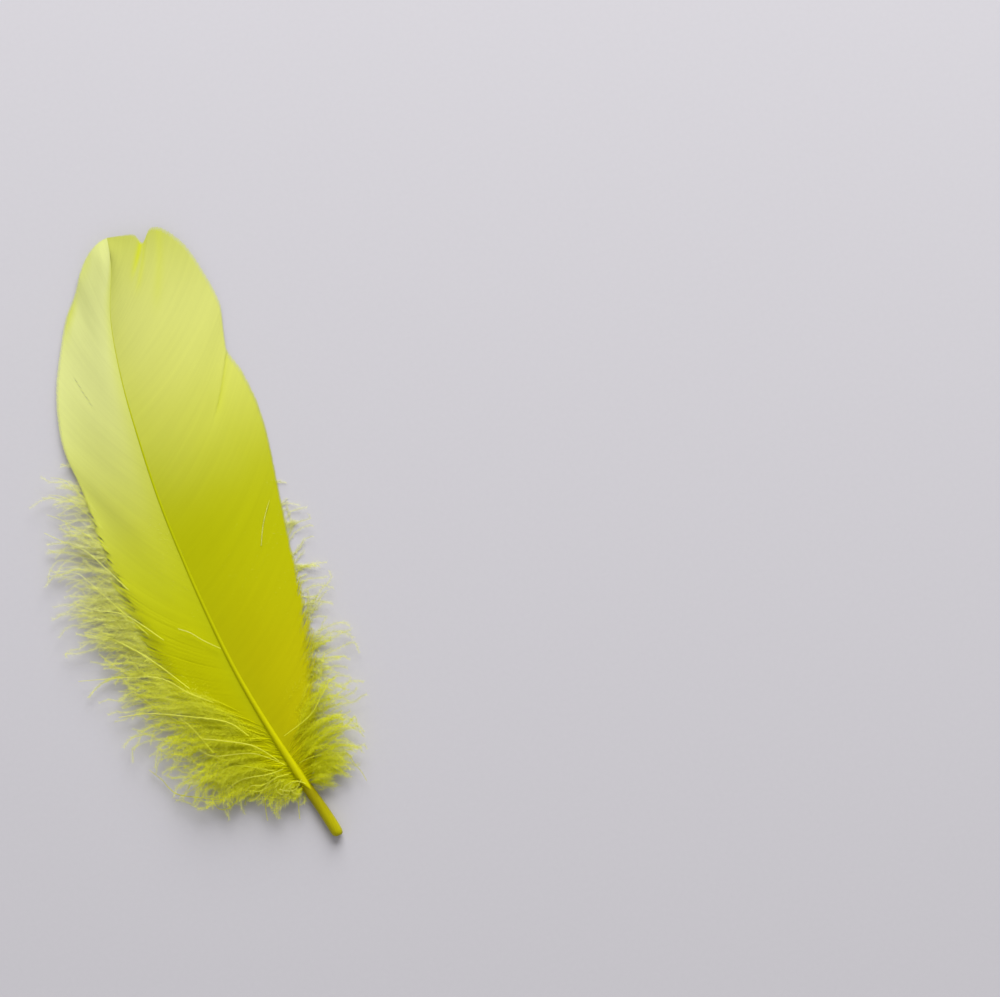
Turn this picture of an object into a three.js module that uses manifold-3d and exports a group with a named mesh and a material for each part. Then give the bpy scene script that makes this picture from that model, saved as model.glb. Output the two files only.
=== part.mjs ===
// A dyed goose body feather lying on its hollow side: one grown piece of keratin.
// A curved shaft carries a narrow left vane, a wide right vane and soft down at its base.
// Sizes are millimetres. The quill's end is the origin of the numbers below, the tip lies
// towards +Y, the domed side is up and the surface that the feather lies on is z = 0.

import * as THREE from "three";
import { mergeVertices } from "three/addons/utils/BufferGeometryUtils.js";
import Module from "manifold-3d";

// The middle of the feather's box, which becomes x = 0, y = 0.
const BOX_MIDDLE = new THREE.Vector2(-13.46, 76.75);

// The shaft, one row every SHAFT_STEP along Y: [x, height of its axis, radius].
const SHAFT_STEP = 15;
const CALAMUS_RADIUS = 1.45;
const SHAFT_SIDES = 10;
const CALAMUS_AXIS_HEIGHT = CALAMUS_RADIUS * Math.cos(Math.PI / SHAFT_SIDES);
const SHAFT_ROWS = [
  [0.0, CALAMUS_AXIS_HEIGHT, CALAMUS_RADIUS],
  [-3.5, CALAMUS_AXIS_HEIGHT, 1.3],
  [-6.9, 2.3, 0.85],
  [-9.6, 3.5, 0.65],
  [-11.2, 4.5, 0.55],
  [-12.2, 5.3, 0.5],
  [-12.7, 5.7, 0.47],
  [-12.3, 5.7, 0.44],
  [-11.3, 5.2, 0.4],
  [-8.8, 4.3, 0.36],
  [-3.7, 3.2, 0.32],
];
const SHAFT_END_Y = 149;

// The calamus is straight and level as far as CALAMUS_FLAT_Y, and its end is rounded:
// [y, share of the radius].
const CALAMUS_FLAT_Y = 13;
const CALAMUS_END = [[0, 0.55], [0.35, 0.82], [1.1, 1]];

// Barbs that guide each vane, from the base to the tip:
// [y of the root on the shaft, x of the barb's tip, y of the tip, height of the tip].
const LEFT_GUIDES = [
  [14, -7.5, 19, 1.6],
  [22, -14, 31, 1.5],
  [32, -18, 44, 1.3],
  [42, -22.5, 59, 1.1],
  [52, -26, 74, 0.8],
  [61, -28, 87, 0.5],
  [70, -29.5, 99, 0.25],
  [79, -30.4, 109, 0.25],
  [88, -29.3, 116.5, 0.25],
  [97, -26.8, 124.5, 0.4],
  [106, -23.2, 131.8, 0.6],
  [115, -19.3, 138.6, 0.8],
  [123, -15.2, 143.5, 1.2],
  [131, -12, 148.2, 1.8],
  [138, -8.7, 151.5, 2.2],
  [144, -5.4, 153.2, 2.6],
  [149, -3.1, 153.5, 2.8],
];
const RIGHT_GUIDES = [
  [14, 0.5, 18.5, 1.6],
  [20, 4.5, 28, 1.4],
  [27, 7.5, 38, 1.2],
  [35, 9.8, 49, 1.0],
  [44, 11.8, 62, 0.8],
  [53, 13.6, 75, 0.5],
  [62, 15.4, 87, 0.25],
  [70, 16.7, 96, 0.25],
  [78, 17.1, 104.5, 0.25],
  [85, 16.2, 113, 0.4],
  [90, 14.6, 118.3, 0.6],
  [98, 15.6, 124, 0.5],
  [107, 16.8, 130, 0.6],
  [115, 15.9, 137, 0.8],
  [122, 14.0, 145, 1.2],
  [128, 10.6, 150.6, 1.7],
  [131.5, 7.4, 152.2, 2.0],
  [134, 4.5, 149.6, 2.2],
  [139, 3.2, 152.0, 2.4],
  [144, 0.5, 152.8, 2.6],
  [149, -3.1, 153.5, 2.8],
];
const ROWS_PER_GUIDE = 2;
const VANE_COLUMNS = 6;
const VANE_THICKNESS_AT_SHAFT = 0.6;
const VANE_THICKNESS_AT_EDGE = 0.5;

// How a barb runs: it leaves the shaft at a wider angle than its chord, and the vane rises
// a little beside the shaft before it bends down to its edge.
const BARB_BOW = THREE.MathUtils.degToRad(13);
const VANE_RISE = 0.8;
const VANE_DROP_POWER = 1.8;

// Down locks, from the vane's edge to the quill: the same four numbers as a guide barb.
const LEFT_LOCKS = [
  [66, -31.6, 110.5, 1.4],
  [60, -37, 101.5, 2.4],
  [54, -41.5, 92, 1.4],
  [47, -45.5, 81, 0.9],
  [41, -46.8, 71, 1.8],
  [35, -45.3, 59, 0.9],
  [29, -41.5, 46, 1.8],
  [24, -37.8, 35, 0.9],
  [20, -33.5, 24, 1.4],
  [17, -25.5, 16.8, 0.9],
  [15, -15.2, 9.8, 0.8],
  [14, -7.5, 7.4, 0.7],
];
const RIGHT_LOCKS = [
  [62, 17.5, 96, 0.9],
  [54, 19.5, 84, 1.6],
  [46, 20.4, 72, 0.9],
  [38, 20.2, 59, 1.6],
  [31, 19.4, 47, 0.9],
  [25, 18.2, 36, 1.8],
  [21, 16.2, 26, 1.0],
  [18, 13.4, 17, 1.6],
  [15.5, 9.6, 10.4, 0.8],
  [14, 2.6, 8.4, 0.7],
];
const LEFT_LOCK_COUNT = 32;
const RIGHT_LOCK_COUNT = 24;
const LOCK_STATIONS = 6;
const LOCK_WIDTH = 3.2;
const LOCK_THICKNESS = 1.2;
const LOCK_TIP_SHARE = 0.1;
const LOCK_FULLEST = 0.5;
const LOCK_ROOT_SHARE = 0.35;
const LOCK_ARCH = 3.0;
const LOCK_SWAY = THREE.MathUtils.degToRad(9);
const LOCK_BOW = THREE.MathUtils.degToRad(24);
const LOCK_SHORTENING = 0.13;

const wasm = await Module();
wasm.setup();

// A number from 0 to 1 that depends only on n.
function scatter(n) {
  const wave = Math.sin(n * 12.9898 + 4.1414) * 43758.5453;
  return wave - Math.floor(wave);
}

// The row at a place between 0 and the last row's index, on a smooth curve through all rows.
function rowAt(rows, place) {
  const last = rows.length - 1;
  const i = Math.max(0, Math.min(Math.floor(place), last - 1));
  const t = place - i;
  const before = rows[Math.max(i - 1, 0)];
  const after = rows[Math.min(i + 2, last)];
  return rows[i].map((here, k) => {
    const next = rows[i + 1][k];
    const slope = next - before[k];
    const bend = 2 * before[k] - 5 * here + 4 * next - after[k];
    const twist = 3 * here - before[k] - 3 * next + after[k];
    return 0.5 * (2 * here + slope * t + bend * t * t + twist * t * t * t);
  });
}

function shaftAt(y) {
  const [x, z, radius] = rowAt(SHAFT_ROWS, y / SHAFT_STEP);
  return { point: new THREE.Vector3(x, y, z), radius };
}

// A barb's point at a share of its length, seen from above it is a quadratic curve.
// root and tip are points, bow is the extra angle at which the barb leaves the shaft.
function barbPoint(root, tip, bow, share) {
  const chord = tip.clone().sub(root);
  const turn = tip.x < root.x ? bow : -bow;
  const middle = new THREE.Vector3(chord.x, chord.y, 0)
    .multiplyScalar(0.5)
    .applyAxisAngle(new THREE.Vector3(0, 0, 1), turn)
    .add(new THREE.Vector3(root.x, root.y, 0));
  const near = (1 - share) * (1 - share);
  const mid = 2 * share * (1 - share);
  const far = share * share;
  return new THREE.Vector3(
    near * root.x + mid * middle.x + far * tip.x,
    near * root.y + mid * middle.y + far * tip.y,
    0,
  );
}

// The vane's middle surface on the barb at a place among the guides.
function vanePoint(guides, place, share) {
  const [rootY, tipX, tipY, tipZ] = rowAt(guides, place);
  const root = shaftAt(rootY).point;
  const tip = new THREE.Vector3(tipX, tipY, tipZ);
  const p = barbPoint(root, tip, BARB_BOW, share);
  const drop = (root.z - tipZ) * share ** VANE_DROP_POWER;
  const rise = VANE_RISE * Math.sin(Math.PI * share) * (1 - share);
  p.z = root.z - drop + rise;
  return p;
}

// A closed solid from points and triangles, with its faces turned outwards.
function solidFrom(points, triangles) {
  const geometry = new THREE.BufferGeometry();
  geometry.setAttribute(
    "position",
    new THREE.Float32BufferAttribute(points.flatMap((p) => p.toArray()), 3),
  );
  geometry.setIndex(triangles);
  const merged = mergeVertices(geometry, 1e-4);
  const corners = Array.from(merged.index.array);
  const full = [];
  for (let i = 0; i < corners.length; i += 3) {
    const [a, b, c] = corners.slice(i, i + 3);
    if (a !== b && b !== c && c !== a) full.push(a, b, c);
  }
  const make = (triVerts) =>
    new wasm.Manifold(
      new wasm.Mesh({
        numProp: 3,
        vertProperties: new Float32Array(merged.attributes.position.array),
        triVerts: new Uint32Array(triVerts),
      }),
    );
  const solid = make(full);
  return solid.volume() < 0 ? make(full.reverse()) : solid;
}

// Joins rings of equal length into a closed tube with a fan of triangles on each end.
function tubeFrom(rings) {
  const sides = rings[0].length;
  const points = rings.flat();
  const triangles = [];
  for (let r = 0; r + 1 < rings.length; r++) {
    for (let k = 0; k < sides; k++) {
      const a = r * sides + k;
      const b = r * sides + ((k + 1) % sides);
      triangles.push(a, b, b + sides, a, b + sides, a + sides);
    }
  }
  const end = (rings.length - 1) * sides;
  for (let k = 1; k + 1 < sides; k++) {
    triangles.push(0, k + 1, k);
    triangles.push(end, end + k, end + k + 1);
  }
  return solidFrom(points, triangles);
}

// The shaft: a round horn rod with a flat facet below, which the calamus rests on.
function shaftSolid() {
  const stations = CALAMUS_END.map(([y, share]) => [y, share]);
  stations.push([CALAMUS_FLAT_Y, 1]);
  for (let y = SHAFT_STEP + 3; y < SHAFT_END_Y; y += 7) stations.push([y, 1]);
  stations.push([SHAFT_END_Y, 1]);
  const rings = stations.map(([y, share]) => {
    const { point, radius } = shaftAt(y);
    const level = y <= CALAMUS_FLAT_Y;
    const reach = (level ? CALAMUS_RADIUS : radius) * share;
    const axisHeight = level ? CALAMUS_AXIS_HEIGHT : point.z;
    const ring = [];
    for (let k = 0; k < SHAFT_SIDES; k++) {
      const angle = ((k + 0.5) / SHAFT_SIDES) * 2 * Math.PI - Math.PI / 2;
      ring.push(
        new THREE.Vector3(
          point.x + reach * Math.cos(angle),
          y,
          axisHeight + reach * Math.sin(angle),
        ),
      );
    }
    return ring;
  });
  return tubeFrom(rings);
}

// One vane: a thin domed sheet whose rows are barbs. Its edge is cut by the barbs' tips.
function vaneSolid(guides) {
  const rows = (guides.length - 1) * ROWS_PER_GUIDE;
  const rings = [];
  for (let r = 0; r <= rows; r++) {
    const upper = [];
    const lower = [];
    for (let c = 0; c <= VANE_COLUMNS; c++) {
      const share = c / VANE_COLUMNS;
      const p = vanePoint(guides, r / ROWS_PER_GUIDE, share);
      const half = THREE.MathUtils.lerp(VANE_THICKNESS_AT_SHAFT, VANE_THICKNESS_AT_EDGE, share) / 2;
      const middle = Math.max(p.z, half);
      upper.push(new THREE.Vector3(p.x, p.y, middle + half));
      lower.unshift(new THREE.Vector3(p.x, p.y, middle - half));
    }
    rings.push([...upper, ...lower]);
  }
  return tubeFrom(rings);
}

// One lock of down: a flat tapering strand that leaves the vane and arches over to its tip.
function lockSolid(row, n) {
  const [rootY, tipX, tipY, tipZ] = row;
  const root = shaftAt(rootY).point;
  const tip = new THREE.Vector3(tipX, tipY, tipZ)
    .sub(root)
    .applyAxisAngle(new THREE.Vector3(0, 0, 1), LOCK_SWAY * (scatter(n + 0.25) - 0.5))
    .add(root);
  const length = 1 - LOCK_SHORTENING * scatter(n);
  const arch = LOCK_ARCH * (0.3 + 0.7 * scatter(n + 0.5));
  const rings = [];
  for (let i = 0; i <= LOCK_STATIONS; i++) {
    const share = i / LOCK_STATIONS;
    const p = barbPoint(root, tip, LOCK_BOW, share * length);
    const next = barbPoint(root, tip, LOCK_BOW, share * length + 0.01);
    const along = next.sub(p).normalize();
    const across = new THREE.Vector3(-along.y, along.x, 0);
    const fullness =
      share < LOCK_FULLEST
        ? THREE.MathUtils.lerp(LOCK_ROOT_SHARE, 1, share / LOCK_FULLEST)
        : THREE.MathUtils.lerp(1, LOCK_TIP_SHARE, (share - LOCK_FULLEST) / (1 - LOCK_FULLEST));
    const halfWidth = (LOCK_WIDTH / 2) * fullness;
    const halfThickness = (LOCK_THICKNESS / 2) * fullness;
    const height = THREE.MathUtils.lerp(root.z, tipZ, share) + arch * Math.sin(Math.PI * share);
    p.z = Math.max(height, halfThickness);
    rings.push([
      p.clone().addScaledVector(across, halfWidth),
      p.clone().add(new THREE.Vector3(0, 0, halfThickness)),
      p.clone().addScaledVector(across, -halfWidth),
      p.clone().add(new THREE.Vector3(0, 0, -halfThickness)),
    ]);
  }
  return tubeFrom(rings);
}

function locks(rows, count, firstNumber) {
  const made = [];
  for (let n = 0; n < count; n++) {
    const place = (n / (count - 1)) * (rows.length - 1);
    made.push(lockSolid(rowAt(rows, place), firstNumber + n));
  }
  return made;
}

function featherGeometry() {
  const grown = [
    vaneSolid(LEFT_GUIDES),
    vaneSolid(RIGHT_GUIDES),
    ...locks(LEFT_LOCKS, LEFT_LOCK_COUNT, 1),
    ...locks(RIGHT_LOCKS, RIGHT_LOCK_COUNT, 101),
  ];
  let feather = shaftSolid();
  for (const solid of grown) feather = feather.add(solid);
  const mesh = feather.getMesh();
  const geometry = new THREE.BufferGeometry();
  geometry.setAttribute("position", new THREE.BufferAttribute(mesh.vertProperties, 3));
  geometry.setIndex(new THREE.BufferAttribute(mesh.triVerts, 1));
  geometry.translate(-BOX_MIDDLE.x, -BOX_MIDDLE.y, 0);
  return geometry;
}

const featherMaterial = new THREE.MeshStandardMaterial({
  color: new THREE.Color(0xcdd24e),
  roughness: 0.7,
  metalness: 0,
});

const feather = new THREE.Mesh(featherGeometry(), featherMaterial);
feather.name = "feather";

const part = new THREE.Group();
part.add(feather);

export default part;
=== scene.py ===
# %% [markdown]
# A dyed goose feather lies on its hollow side on a pale table. It has five kinds of piece:
# the calamus, which is the bare hollow quill, the rachis that runs on from it to the tip,
# a narrow left vane, a wide right vane, and soft down round the base. On the real feather
# each vane is some hundreds of barbs that hook into one sheet, and down is barbs that don't
# hook. So everything here is grown from barbs, along the same guides as the solid feather.

# %% Load the solid feather
import math

import bmesh
import bpy
import numpy as np
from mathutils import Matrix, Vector


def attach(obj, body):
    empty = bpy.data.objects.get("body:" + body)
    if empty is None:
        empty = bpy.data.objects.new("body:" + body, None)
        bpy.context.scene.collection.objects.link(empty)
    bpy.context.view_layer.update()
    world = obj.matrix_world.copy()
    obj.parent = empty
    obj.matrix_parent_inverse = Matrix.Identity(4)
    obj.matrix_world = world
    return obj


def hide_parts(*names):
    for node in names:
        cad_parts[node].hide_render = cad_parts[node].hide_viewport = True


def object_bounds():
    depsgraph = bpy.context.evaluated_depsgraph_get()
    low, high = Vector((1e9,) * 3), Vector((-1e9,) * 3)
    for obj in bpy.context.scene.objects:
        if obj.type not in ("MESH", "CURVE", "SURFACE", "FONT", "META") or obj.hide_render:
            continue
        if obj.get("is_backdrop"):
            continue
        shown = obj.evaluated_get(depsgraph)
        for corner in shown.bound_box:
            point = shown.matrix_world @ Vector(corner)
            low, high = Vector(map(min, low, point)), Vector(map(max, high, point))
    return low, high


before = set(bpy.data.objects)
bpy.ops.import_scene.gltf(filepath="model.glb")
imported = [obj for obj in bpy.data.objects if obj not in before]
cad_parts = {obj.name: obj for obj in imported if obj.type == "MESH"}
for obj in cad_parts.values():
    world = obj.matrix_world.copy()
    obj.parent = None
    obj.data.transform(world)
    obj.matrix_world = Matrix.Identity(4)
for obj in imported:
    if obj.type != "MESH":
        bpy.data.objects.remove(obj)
cad_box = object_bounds()
print("solid feather, metres:", [[round(v, 4) for v in corner] for corner in cad_box])

# %% [markdown]
# Blender works in metres here, and the feather is easier to describe in millimetres from
# the quill's end, with Y towards the tip. One helper changes from one to the other. Rows of
# numbers say where the shaft and some guide barbs run, and a smooth curve through the rows
# gives every barb between them. That is quicker to tune than a mesh that is pushed about.

# %% Rows of numbers and the curve through them
MM = 0.001
BOX_MIDDLE = np.array([-13.46, 76.75, 0.0])


def in_frame(points):
    """Millimetres from the quill's end, as metres in the feather's frame."""
    return (np.asarray(points, float) - BOX_MIDDLE) * MM


def rows_at(rows, places):
    """The rows at fractional places, on a smooth curve through all of them."""
    rows, places = np.asarray(rows, float), np.asarray(places, float)
    last = len(rows) - 1
    i = np.clip(np.floor(places).astype(int), 0, last - 1)
    t = (places - i)[..., None]
    before, here = rows[np.maximum(i - 1, 0)], rows[i]
    after, beyond = rows[i + 1], rows[np.minimum(i + 2, last)]
    bend = 2 * before - 5 * here + 4 * after - beyond
    twist = 3 * here - before - 3 * after + beyond
    return 0.5 * (2 * here + (after - before) * t + bend * t**2 + twist * t**3)


print("the quill's end lies at", in_frame([0, 0, 0]).round(4), "metres in the frame")

# %% [markdown]
# The shaft carries everything else. Seen from above it bows gently to the left, and from the
# side it rises off the table to the feather's highest line and comes down again at the tip.
# Each row holds its x, its height and its radius, one row for every 15 mm of length.

# %% Where the shaft runs
SHAFT_STEP = 15
CALAMUS_RADIUS = 1.45
CALAMUS_AXIS_HEIGHT = CALAMUS_RADIUS * math.cos(math.pi / 10)
SHAFT_ROWS = [
    [0.0, CALAMUS_AXIS_HEIGHT, CALAMUS_RADIUS],
    [-3.5, CALAMUS_AXIS_HEIGHT, 1.3],
    [-6.9, 2.3, 0.85],
    [-9.6, 3.5, 0.65],
    [-11.2, 4.5, 0.55],
    [-12.2, 5.3, 0.5],
    [-12.7, 5.7, 0.47],
    [-12.3, 5.7, 0.44],
    [-11.3, 5.2, 0.4],
    [-8.8, 4.3, 0.36],
    [-3.7, 3.2, 0.32],
]
SHAFT_END_Y = 149


def shaft_at(y):
    """The shaft's axis at y: its x, its height and its radius."""
    row = rows_at(SHAFT_ROWS, np.asarray(y, float) / SHAFT_STEP)
    return row[..., 0], row[..., 1], row[..., 2]


print("the shaft bows out to x", round(float(shaft_at(90)[0]), 1), "mm from the quill's end")

# %% [markdown]
# The camera looks straight down on the table, as whoever laid the feather out did, and it
# is turned 20 degrees so that the feather leans to the left. A long lens from a metre up
# keeps the view nearly free of perspective. The feather lies left of the middle.

# %% The camera
VIEW_MIDDLE = (0.07739, -0.01408)
VIEW_WIDTH = 0.24
VIEW_TURN = math.radians(-20)
CAMERA_HEIGHT = 1.0
SENSOR_WIDTH = 36

camera_data = bpy.data.cameras.new("overhead")
camera_data.sensor_width = SENSOR_WIDTH
camera_data.lens = SENSOR_WIDTH * CAMERA_HEIGHT / VIEW_WIDTH
camera = bpy.data.objects.new("overhead", camera_data)
camera.location = (*VIEW_MIDDLE, CAMERA_HEIGHT)
camera.rotation_euler = (0, 0, VIEW_TURN)
bpy.context.scene.collection.objects.link(camera)
bpy.context.scene.camera = camera
print("lens", round(camera_data.lens), "mm")

# %% [markdown]
# A material is a graph of nodes. Long graphs are easier to read as sums, so a small class
# wraps a socket and turns each operator into a Math node. Colours would go grey in a Math
# node, so they are mixed with a Mix node instead. One function makes every other node.

# %% Shader maths as Python
def plug(tree, socket, value):
    """Sets a socket to a number or colour, or joins a wire to it."""
    if isinstance(value, Wire):
        tree.links.new(value.socket, socket)
    elif isinstance(value, bpy.types.NodeSocket):
        tree.links.new(value, socket)
    else:
        socket.default_value = value


def add_node(tree, kind, settings=None, inputs=None):
    """A new node: its settings come first, then its sockets' values or wires."""
    made = tree.nodes.new(kind)
    for name, value in (settings or {}).items():
        setattr(made, name, value)
    for name, value in (inputs or {}).items():
        plug(tree, made.inputs[name], value)
    return made


class Wire:
    """A number that a shader socket gives. Sums of wires add Math nodes."""

    def __init__(self, tree, socket):
        self.tree, self.socket = tree, socket

    def math(self, operation, *others, clamp=False):
        inputs = dict(enumerate((self, *others)))
        settings = {"operation": operation, "use_clamp": clamp}
        made = add_node(self.tree, "ShaderNodeMath", settings, inputs)
        return Wire(self.tree, made.outputs[0])

    def __add__(self, other):
        return self.math("ADD", other)

    def __mul__(self, other):
        return self.math("MULTIPLY", other)

    def __sub__(self, other):
        return self.math("SUBTRACT", other)

    def __rsub__(self, other):
        return self.math("MULTIPLY", -1.0) + other

    def __truediv__(self, other):
        return self.math("DIVIDE", other)

    __radd__, __rmul__ = __add__, __mul__

    def clamped(self):
        """The same number, kept between 0 and 1."""
        return self.math("ADD", 0.0, clamp=True)


def combined(tree, x=0.0, y=0.0, z=0.0):
    """One vector from three numbers or wires."""
    made = add_node(tree, "ShaderNodeCombineXYZ", None, {0: x, 1: y, 2: z})
    return Wire(tree, made.outputs[0])


print("a sum of wires adds Math nodes")

# %% [markdown]
# A finish is one material under construction. It starts from an empty graph and has short
# ways to the few nodes that this feather needs: where a point lies, a number stored on the
# mesh, soft noise, a mix, a tint and a ramp of colours along the feather.

# %% A finish and its nodes
class Finish:
    """A material under construction, with short ways to its usual nodes."""

    def __init__(self, name):
        self.material = bpy.data.materials.new(name)
        self.material.use_nodes = True
        self.tree = self.material.node_tree
        self.tree.nodes.clear()

    def wire(self, kind, settings=None, inputs=None, output=0):
        made = add_node(self.tree, kind, settings, inputs)
        return Wire(self.tree, made.outputs[output])

    def place(self):
        """Object coordinates in metres: wires for X, Y and Z, and the vector itself."""
        vector = self.wire("ShaderNodeTexCoord", output="Object")
        split = add_node(self.tree, "ShaderNodeSeparateXYZ", None, {0: vector})
        return [Wire(self.tree, s) for s in split.outputs] + [vector]

    def attribute(self, name):
        settings = {"attribute_name": name, "attribute_type": "GEOMETRY"}
        return self.wire("ShaderNodeAttribute", settings, output="Fac")

    def noise(self, vector, scale, detail=2.0):
        """Soft random patches from 0 to 1, scale of them to a metre."""
        inputs = {"Vector": vector, "Scale": scale, "Detail": detail}
        return self.wire("ShaderNodeTexNoise", None, inputs)

    def blend(self, share, first, second):
        settings = {"data_type": "RGBA"}
        inputs = {0: share, 6: first, 7: second}
        return self.wire("ShaderNodeMix", settings, inputs, output=2)

    def tinted(self, colour, strength):
        """A colour made lighter or darker all over by a wire round 1."""
        grey = combined(self.tree, strength, strength, strength)
        settings = {"data_type": "RGBA", "blend_type": "MULTIPLY"}
        inputs = {0: 1.0, 6: colour, 7: grey}
        return self.wire("ShaderNodeMix", settings, inputs, output=2)

    def ramp(self, share, stops):
        """A colour for each place between 0 and 1. stops: [(place, (r, g, b)), ...]."""
        made = add_node(self.tree, "ShaderNodeValToRGB", None, {0: share})
        made.color_ramp.interpolation = "B_SPLINE"
        elements = made.color_ramp.elements
        while len(elements) < len(stops):
            elements.new(0.5)
        for element, (place, colour) in zip(elements, stops):
            element.position = place
            element.color = (*colour, 1)
        return Wire(self.tree, made.outputs[0])

    def out(self, shader):
        """Ends the graph with a shader's wire."""
        add_node(self.tree, "ShaderNodeOutputMaterial", None, {"Surface": shader})
        return self.material


def paint(red, green, blue):
    """A colour as a screen shows it, 0 to 255, as the light values Blender wants."""
    shares = [v / 255 for v in (red, green, blue)]
    return tuple(
        v / 12.92 if v <= 0.04045 else ((v + 0.055) / 1.055) ** 2.4 for v in shares
    )


print("a screen's middle grey is", round(paint(128, 128, 128)[0], 2), "of white in light")

# %% [markdown]
# The table is one large smooth plate of a pale, slightly lilac grey. It lies a hair's breadth
# below the feather, so that nothing shares its plane, and a fine speckle keeps it from
# looking like a blank background.

# %% The table
TABLE_HALF = 3.0
TABLE_DROP = 0.00002
SPECKLES_TO_A_METRE = 900.0
PLATE_DARK = (*paint(192, 190, 195), 1)
PLATE_PALE = (*paint(195, 193, 198), 1)

corners = [(-1, -1), (1, -1), (1, 1), (-1, 1)]
table_mesh = bpy.data.meshes.new("table")
table_mesh.from_pydata(
    [(x * TABLE_HALF, y * TABLE_HALF, -TABLE_DROP) for x, y in corners], [], [(0, 1, 2, 3)]
)
table = bpy.data.objects.new("table", table_mesh)
bpy.context.scene.collection.objects.link(table)
table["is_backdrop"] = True

table_finish = Finish("table plate")
speckle = table_finish.noise(table_finish.place()[3], SPECKLES_TO_A_METRE)
plate_colour = table_finish.blend(speckle, PLATE_DARK, PLATE_PALE)
plate = table_finish.wire(
    "ShaderNodeBsdfPrincipled",
    None,
    {"Base Color": plate_colour, "Roughness": 0.6, "Specular IOR Level": 0.2},
)
table_mesh.materials.append(table_finish.out(plate))
print("table", 2 * TABLE_HALF, "m square")

# %% [markdown]
# The light is soft: a bright room all round, and one large low lamp beyond the feather's tip
# and to its right, so faint shadows fall towards the quill and a little to the left. A plain
# world colour gives the room's light without any picture.

# %% The light
ROOM_COLOUR = (1.0, 0.985, 1.0, 1)
ROOM_STRENGTH = 0.4
LAMP_SIZE = 1.2
LAMP_POWER = 42.5
LAMP_PLACE = (0.62, 1.2, 0.74)

world = bpy.data.worlds.new("room")
world.use_nodes = True
room = world.node_tree.nodes["Background"]
room.inputs["Color"].default_value = ROOM_COLOUR
room.inputs["Strength"].default_value = ROOM_STRENGTH
bpy.context.scene.world = world

lamp_data = bpy.data.lights.new("soft lamp", "AREA")
lamp_data.size = LAMP_SIZE
lamp_data.energy = LAMP_POWER
lamp = bpy.data.objects.new("soft lamp", lamp_data)
lamp.location = LAMP_PLACE
aim = Vector((*VIEW_MIDDLE, 0)) - Vector(LAMP_PLACE)
lamp.rotation_euler = aim.to_track_quat("-Z", "Y").to_euler()
bpy.context.scene.collection.objects.link(lamp)
bpy.context.scene.view_settings.view_transform = "Standard"
print("lamp", LAMP_POWER, "W at", LAMP_PLACE)

# %% [markdown]
# Every piece ends the same way: a plain mesh at the origin that rides with the feather,
# stands for its solid and says which finish it has. A fibre is too thin for an automatic map,
# so the barbs and the down get a map of their own: the view from above, where colours that
# lie close belong together.

# %% Hand a piece over
MAP_MARGIN = 0.01
pieces = []


def add_top_map(mesh):
    """A UV map that is the view from above, in a square with a small margin."""
    places = np.zeros(len(mesh.vertices) * 3, np.float32)
    mesh.vertices.foreach_get("co", places)
    places = places.reshape(-1, 3)[:, :2]
    low, high = places.min(0), places.max(0)
    shares = MAP_MARGIN + (1 - 2 * MAP_MARGIN) * (places - low) / (high - low).max()
    corner_of = np.zeros(len(mesh.loops), np.int32)
    mesh.loops.foreach_get("vertex_index", corner_of)
    while mesh.uv_layers:
        mesh.uv_layers.remove(mesh.uv_layers[0])
    bake_map = mesh.uv_layers.new(name="OFBake")
    bake_map.data.foreach_set("uv", shares[corner_of].astype(np.float32).ravel())


def hand_over(name, mesh, flat_map=True):
    mesh.name = name
    piece = bpy.data.objects.new(name, mesh)
    bpy.context.scene.collection.objects.link(piece)
    if flat_map:
        add_top_map(mesh)
    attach(piece, "root")
    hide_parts("feather")
    pieces.append(piece)
    triangles = sum(len(p.vertices) - 2 for p in mesh.polygons)
    print(f"{name}: {triangles} triangles, material {mesh.materials[0].name}")


print("pieces handed over so far:", len(pieces))

# %% [markdown]
# The shaft has two parts. The calamus is a clear horn tube that was in the skin, with a
# blunt end and a small pit where it was fed. The rachis is solid and pith-filled, so it is
# opaque and brighter. It begins with a slanting lip over the calamus and has a groove
# below. Both are rods through rings of points, which can lean and dent where a lathe can't.

# %% Rods through rings
ROD_SIDES = 28
TABLE_GAP = 0.02
BEDDED, BEDDED_FROM, BEDDED_OVER = 0.18, 24, 20
GROOVE_AT, GROOVE_HALF = 270, 30


def ring(y, radius, slant=0.0, groove=0.0):
    """One ring of points round the shaft's axis, leaning by slant, dented below by groove."""
    angle = np.arange(ROD_SIDES) / ROD_SIDES * 2 * math.pi
    x, z, _ = shaft_at(y)
    z = z - BEDDED * min(max((y - BEDDED_FROM) / BEDDED_OVER, 0), 1)
    below = np.exp(-(((np.degrees(angle) - GROOVE_AT) / GROOVE_HALF) ** 2))
    reach = radius * (1 - groove * below)
    height = z + reach * np.sin(angle)
    return np.stack(
        [
            x + reach * np.cos(angle),
            y - slant * np.cos(angle),
            np.maximum(height, TABLE_GAP),
        ],
        axis=-1,
    )


def rod(rings, finish):
    """A closed rod through the rings."""
    faces = []
    for r in range(len(rings) - 1):
        for k in range(ROD_SIDES):
            a, b = r * ROD_SIDES + k, r * ROD_SIDES + (k + 1) % ROD_SIDES
            faces.append((a, a + ROD_SIDES, b + ROD_SIDES, b))
    faces.append(tuple(range(ROD_SIDES)))
    last = (len(rings) - 1) * ROD_SIDES
    faces.append(tuple(reversed(range(last, last + ROD_SIDES))))
    mesh = bpy.data.meshes.new("rod")
    mesh.from_pydata(in_frame(np.concatenate(rings)).tolist(), [], faces)
    grown = bmesh.new()
    grown.from_mesh(mesh)
    bmesh.ops.recalc_face_normals(grown, faces=grown.faces)
    grown.to_mesh(mesh)
    grown.free()
    mesh.polygons.foreach_set("use_smooth", [True] * len(mesh.polygons))
    mesh.materials.append(finish)
    return mesh


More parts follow.
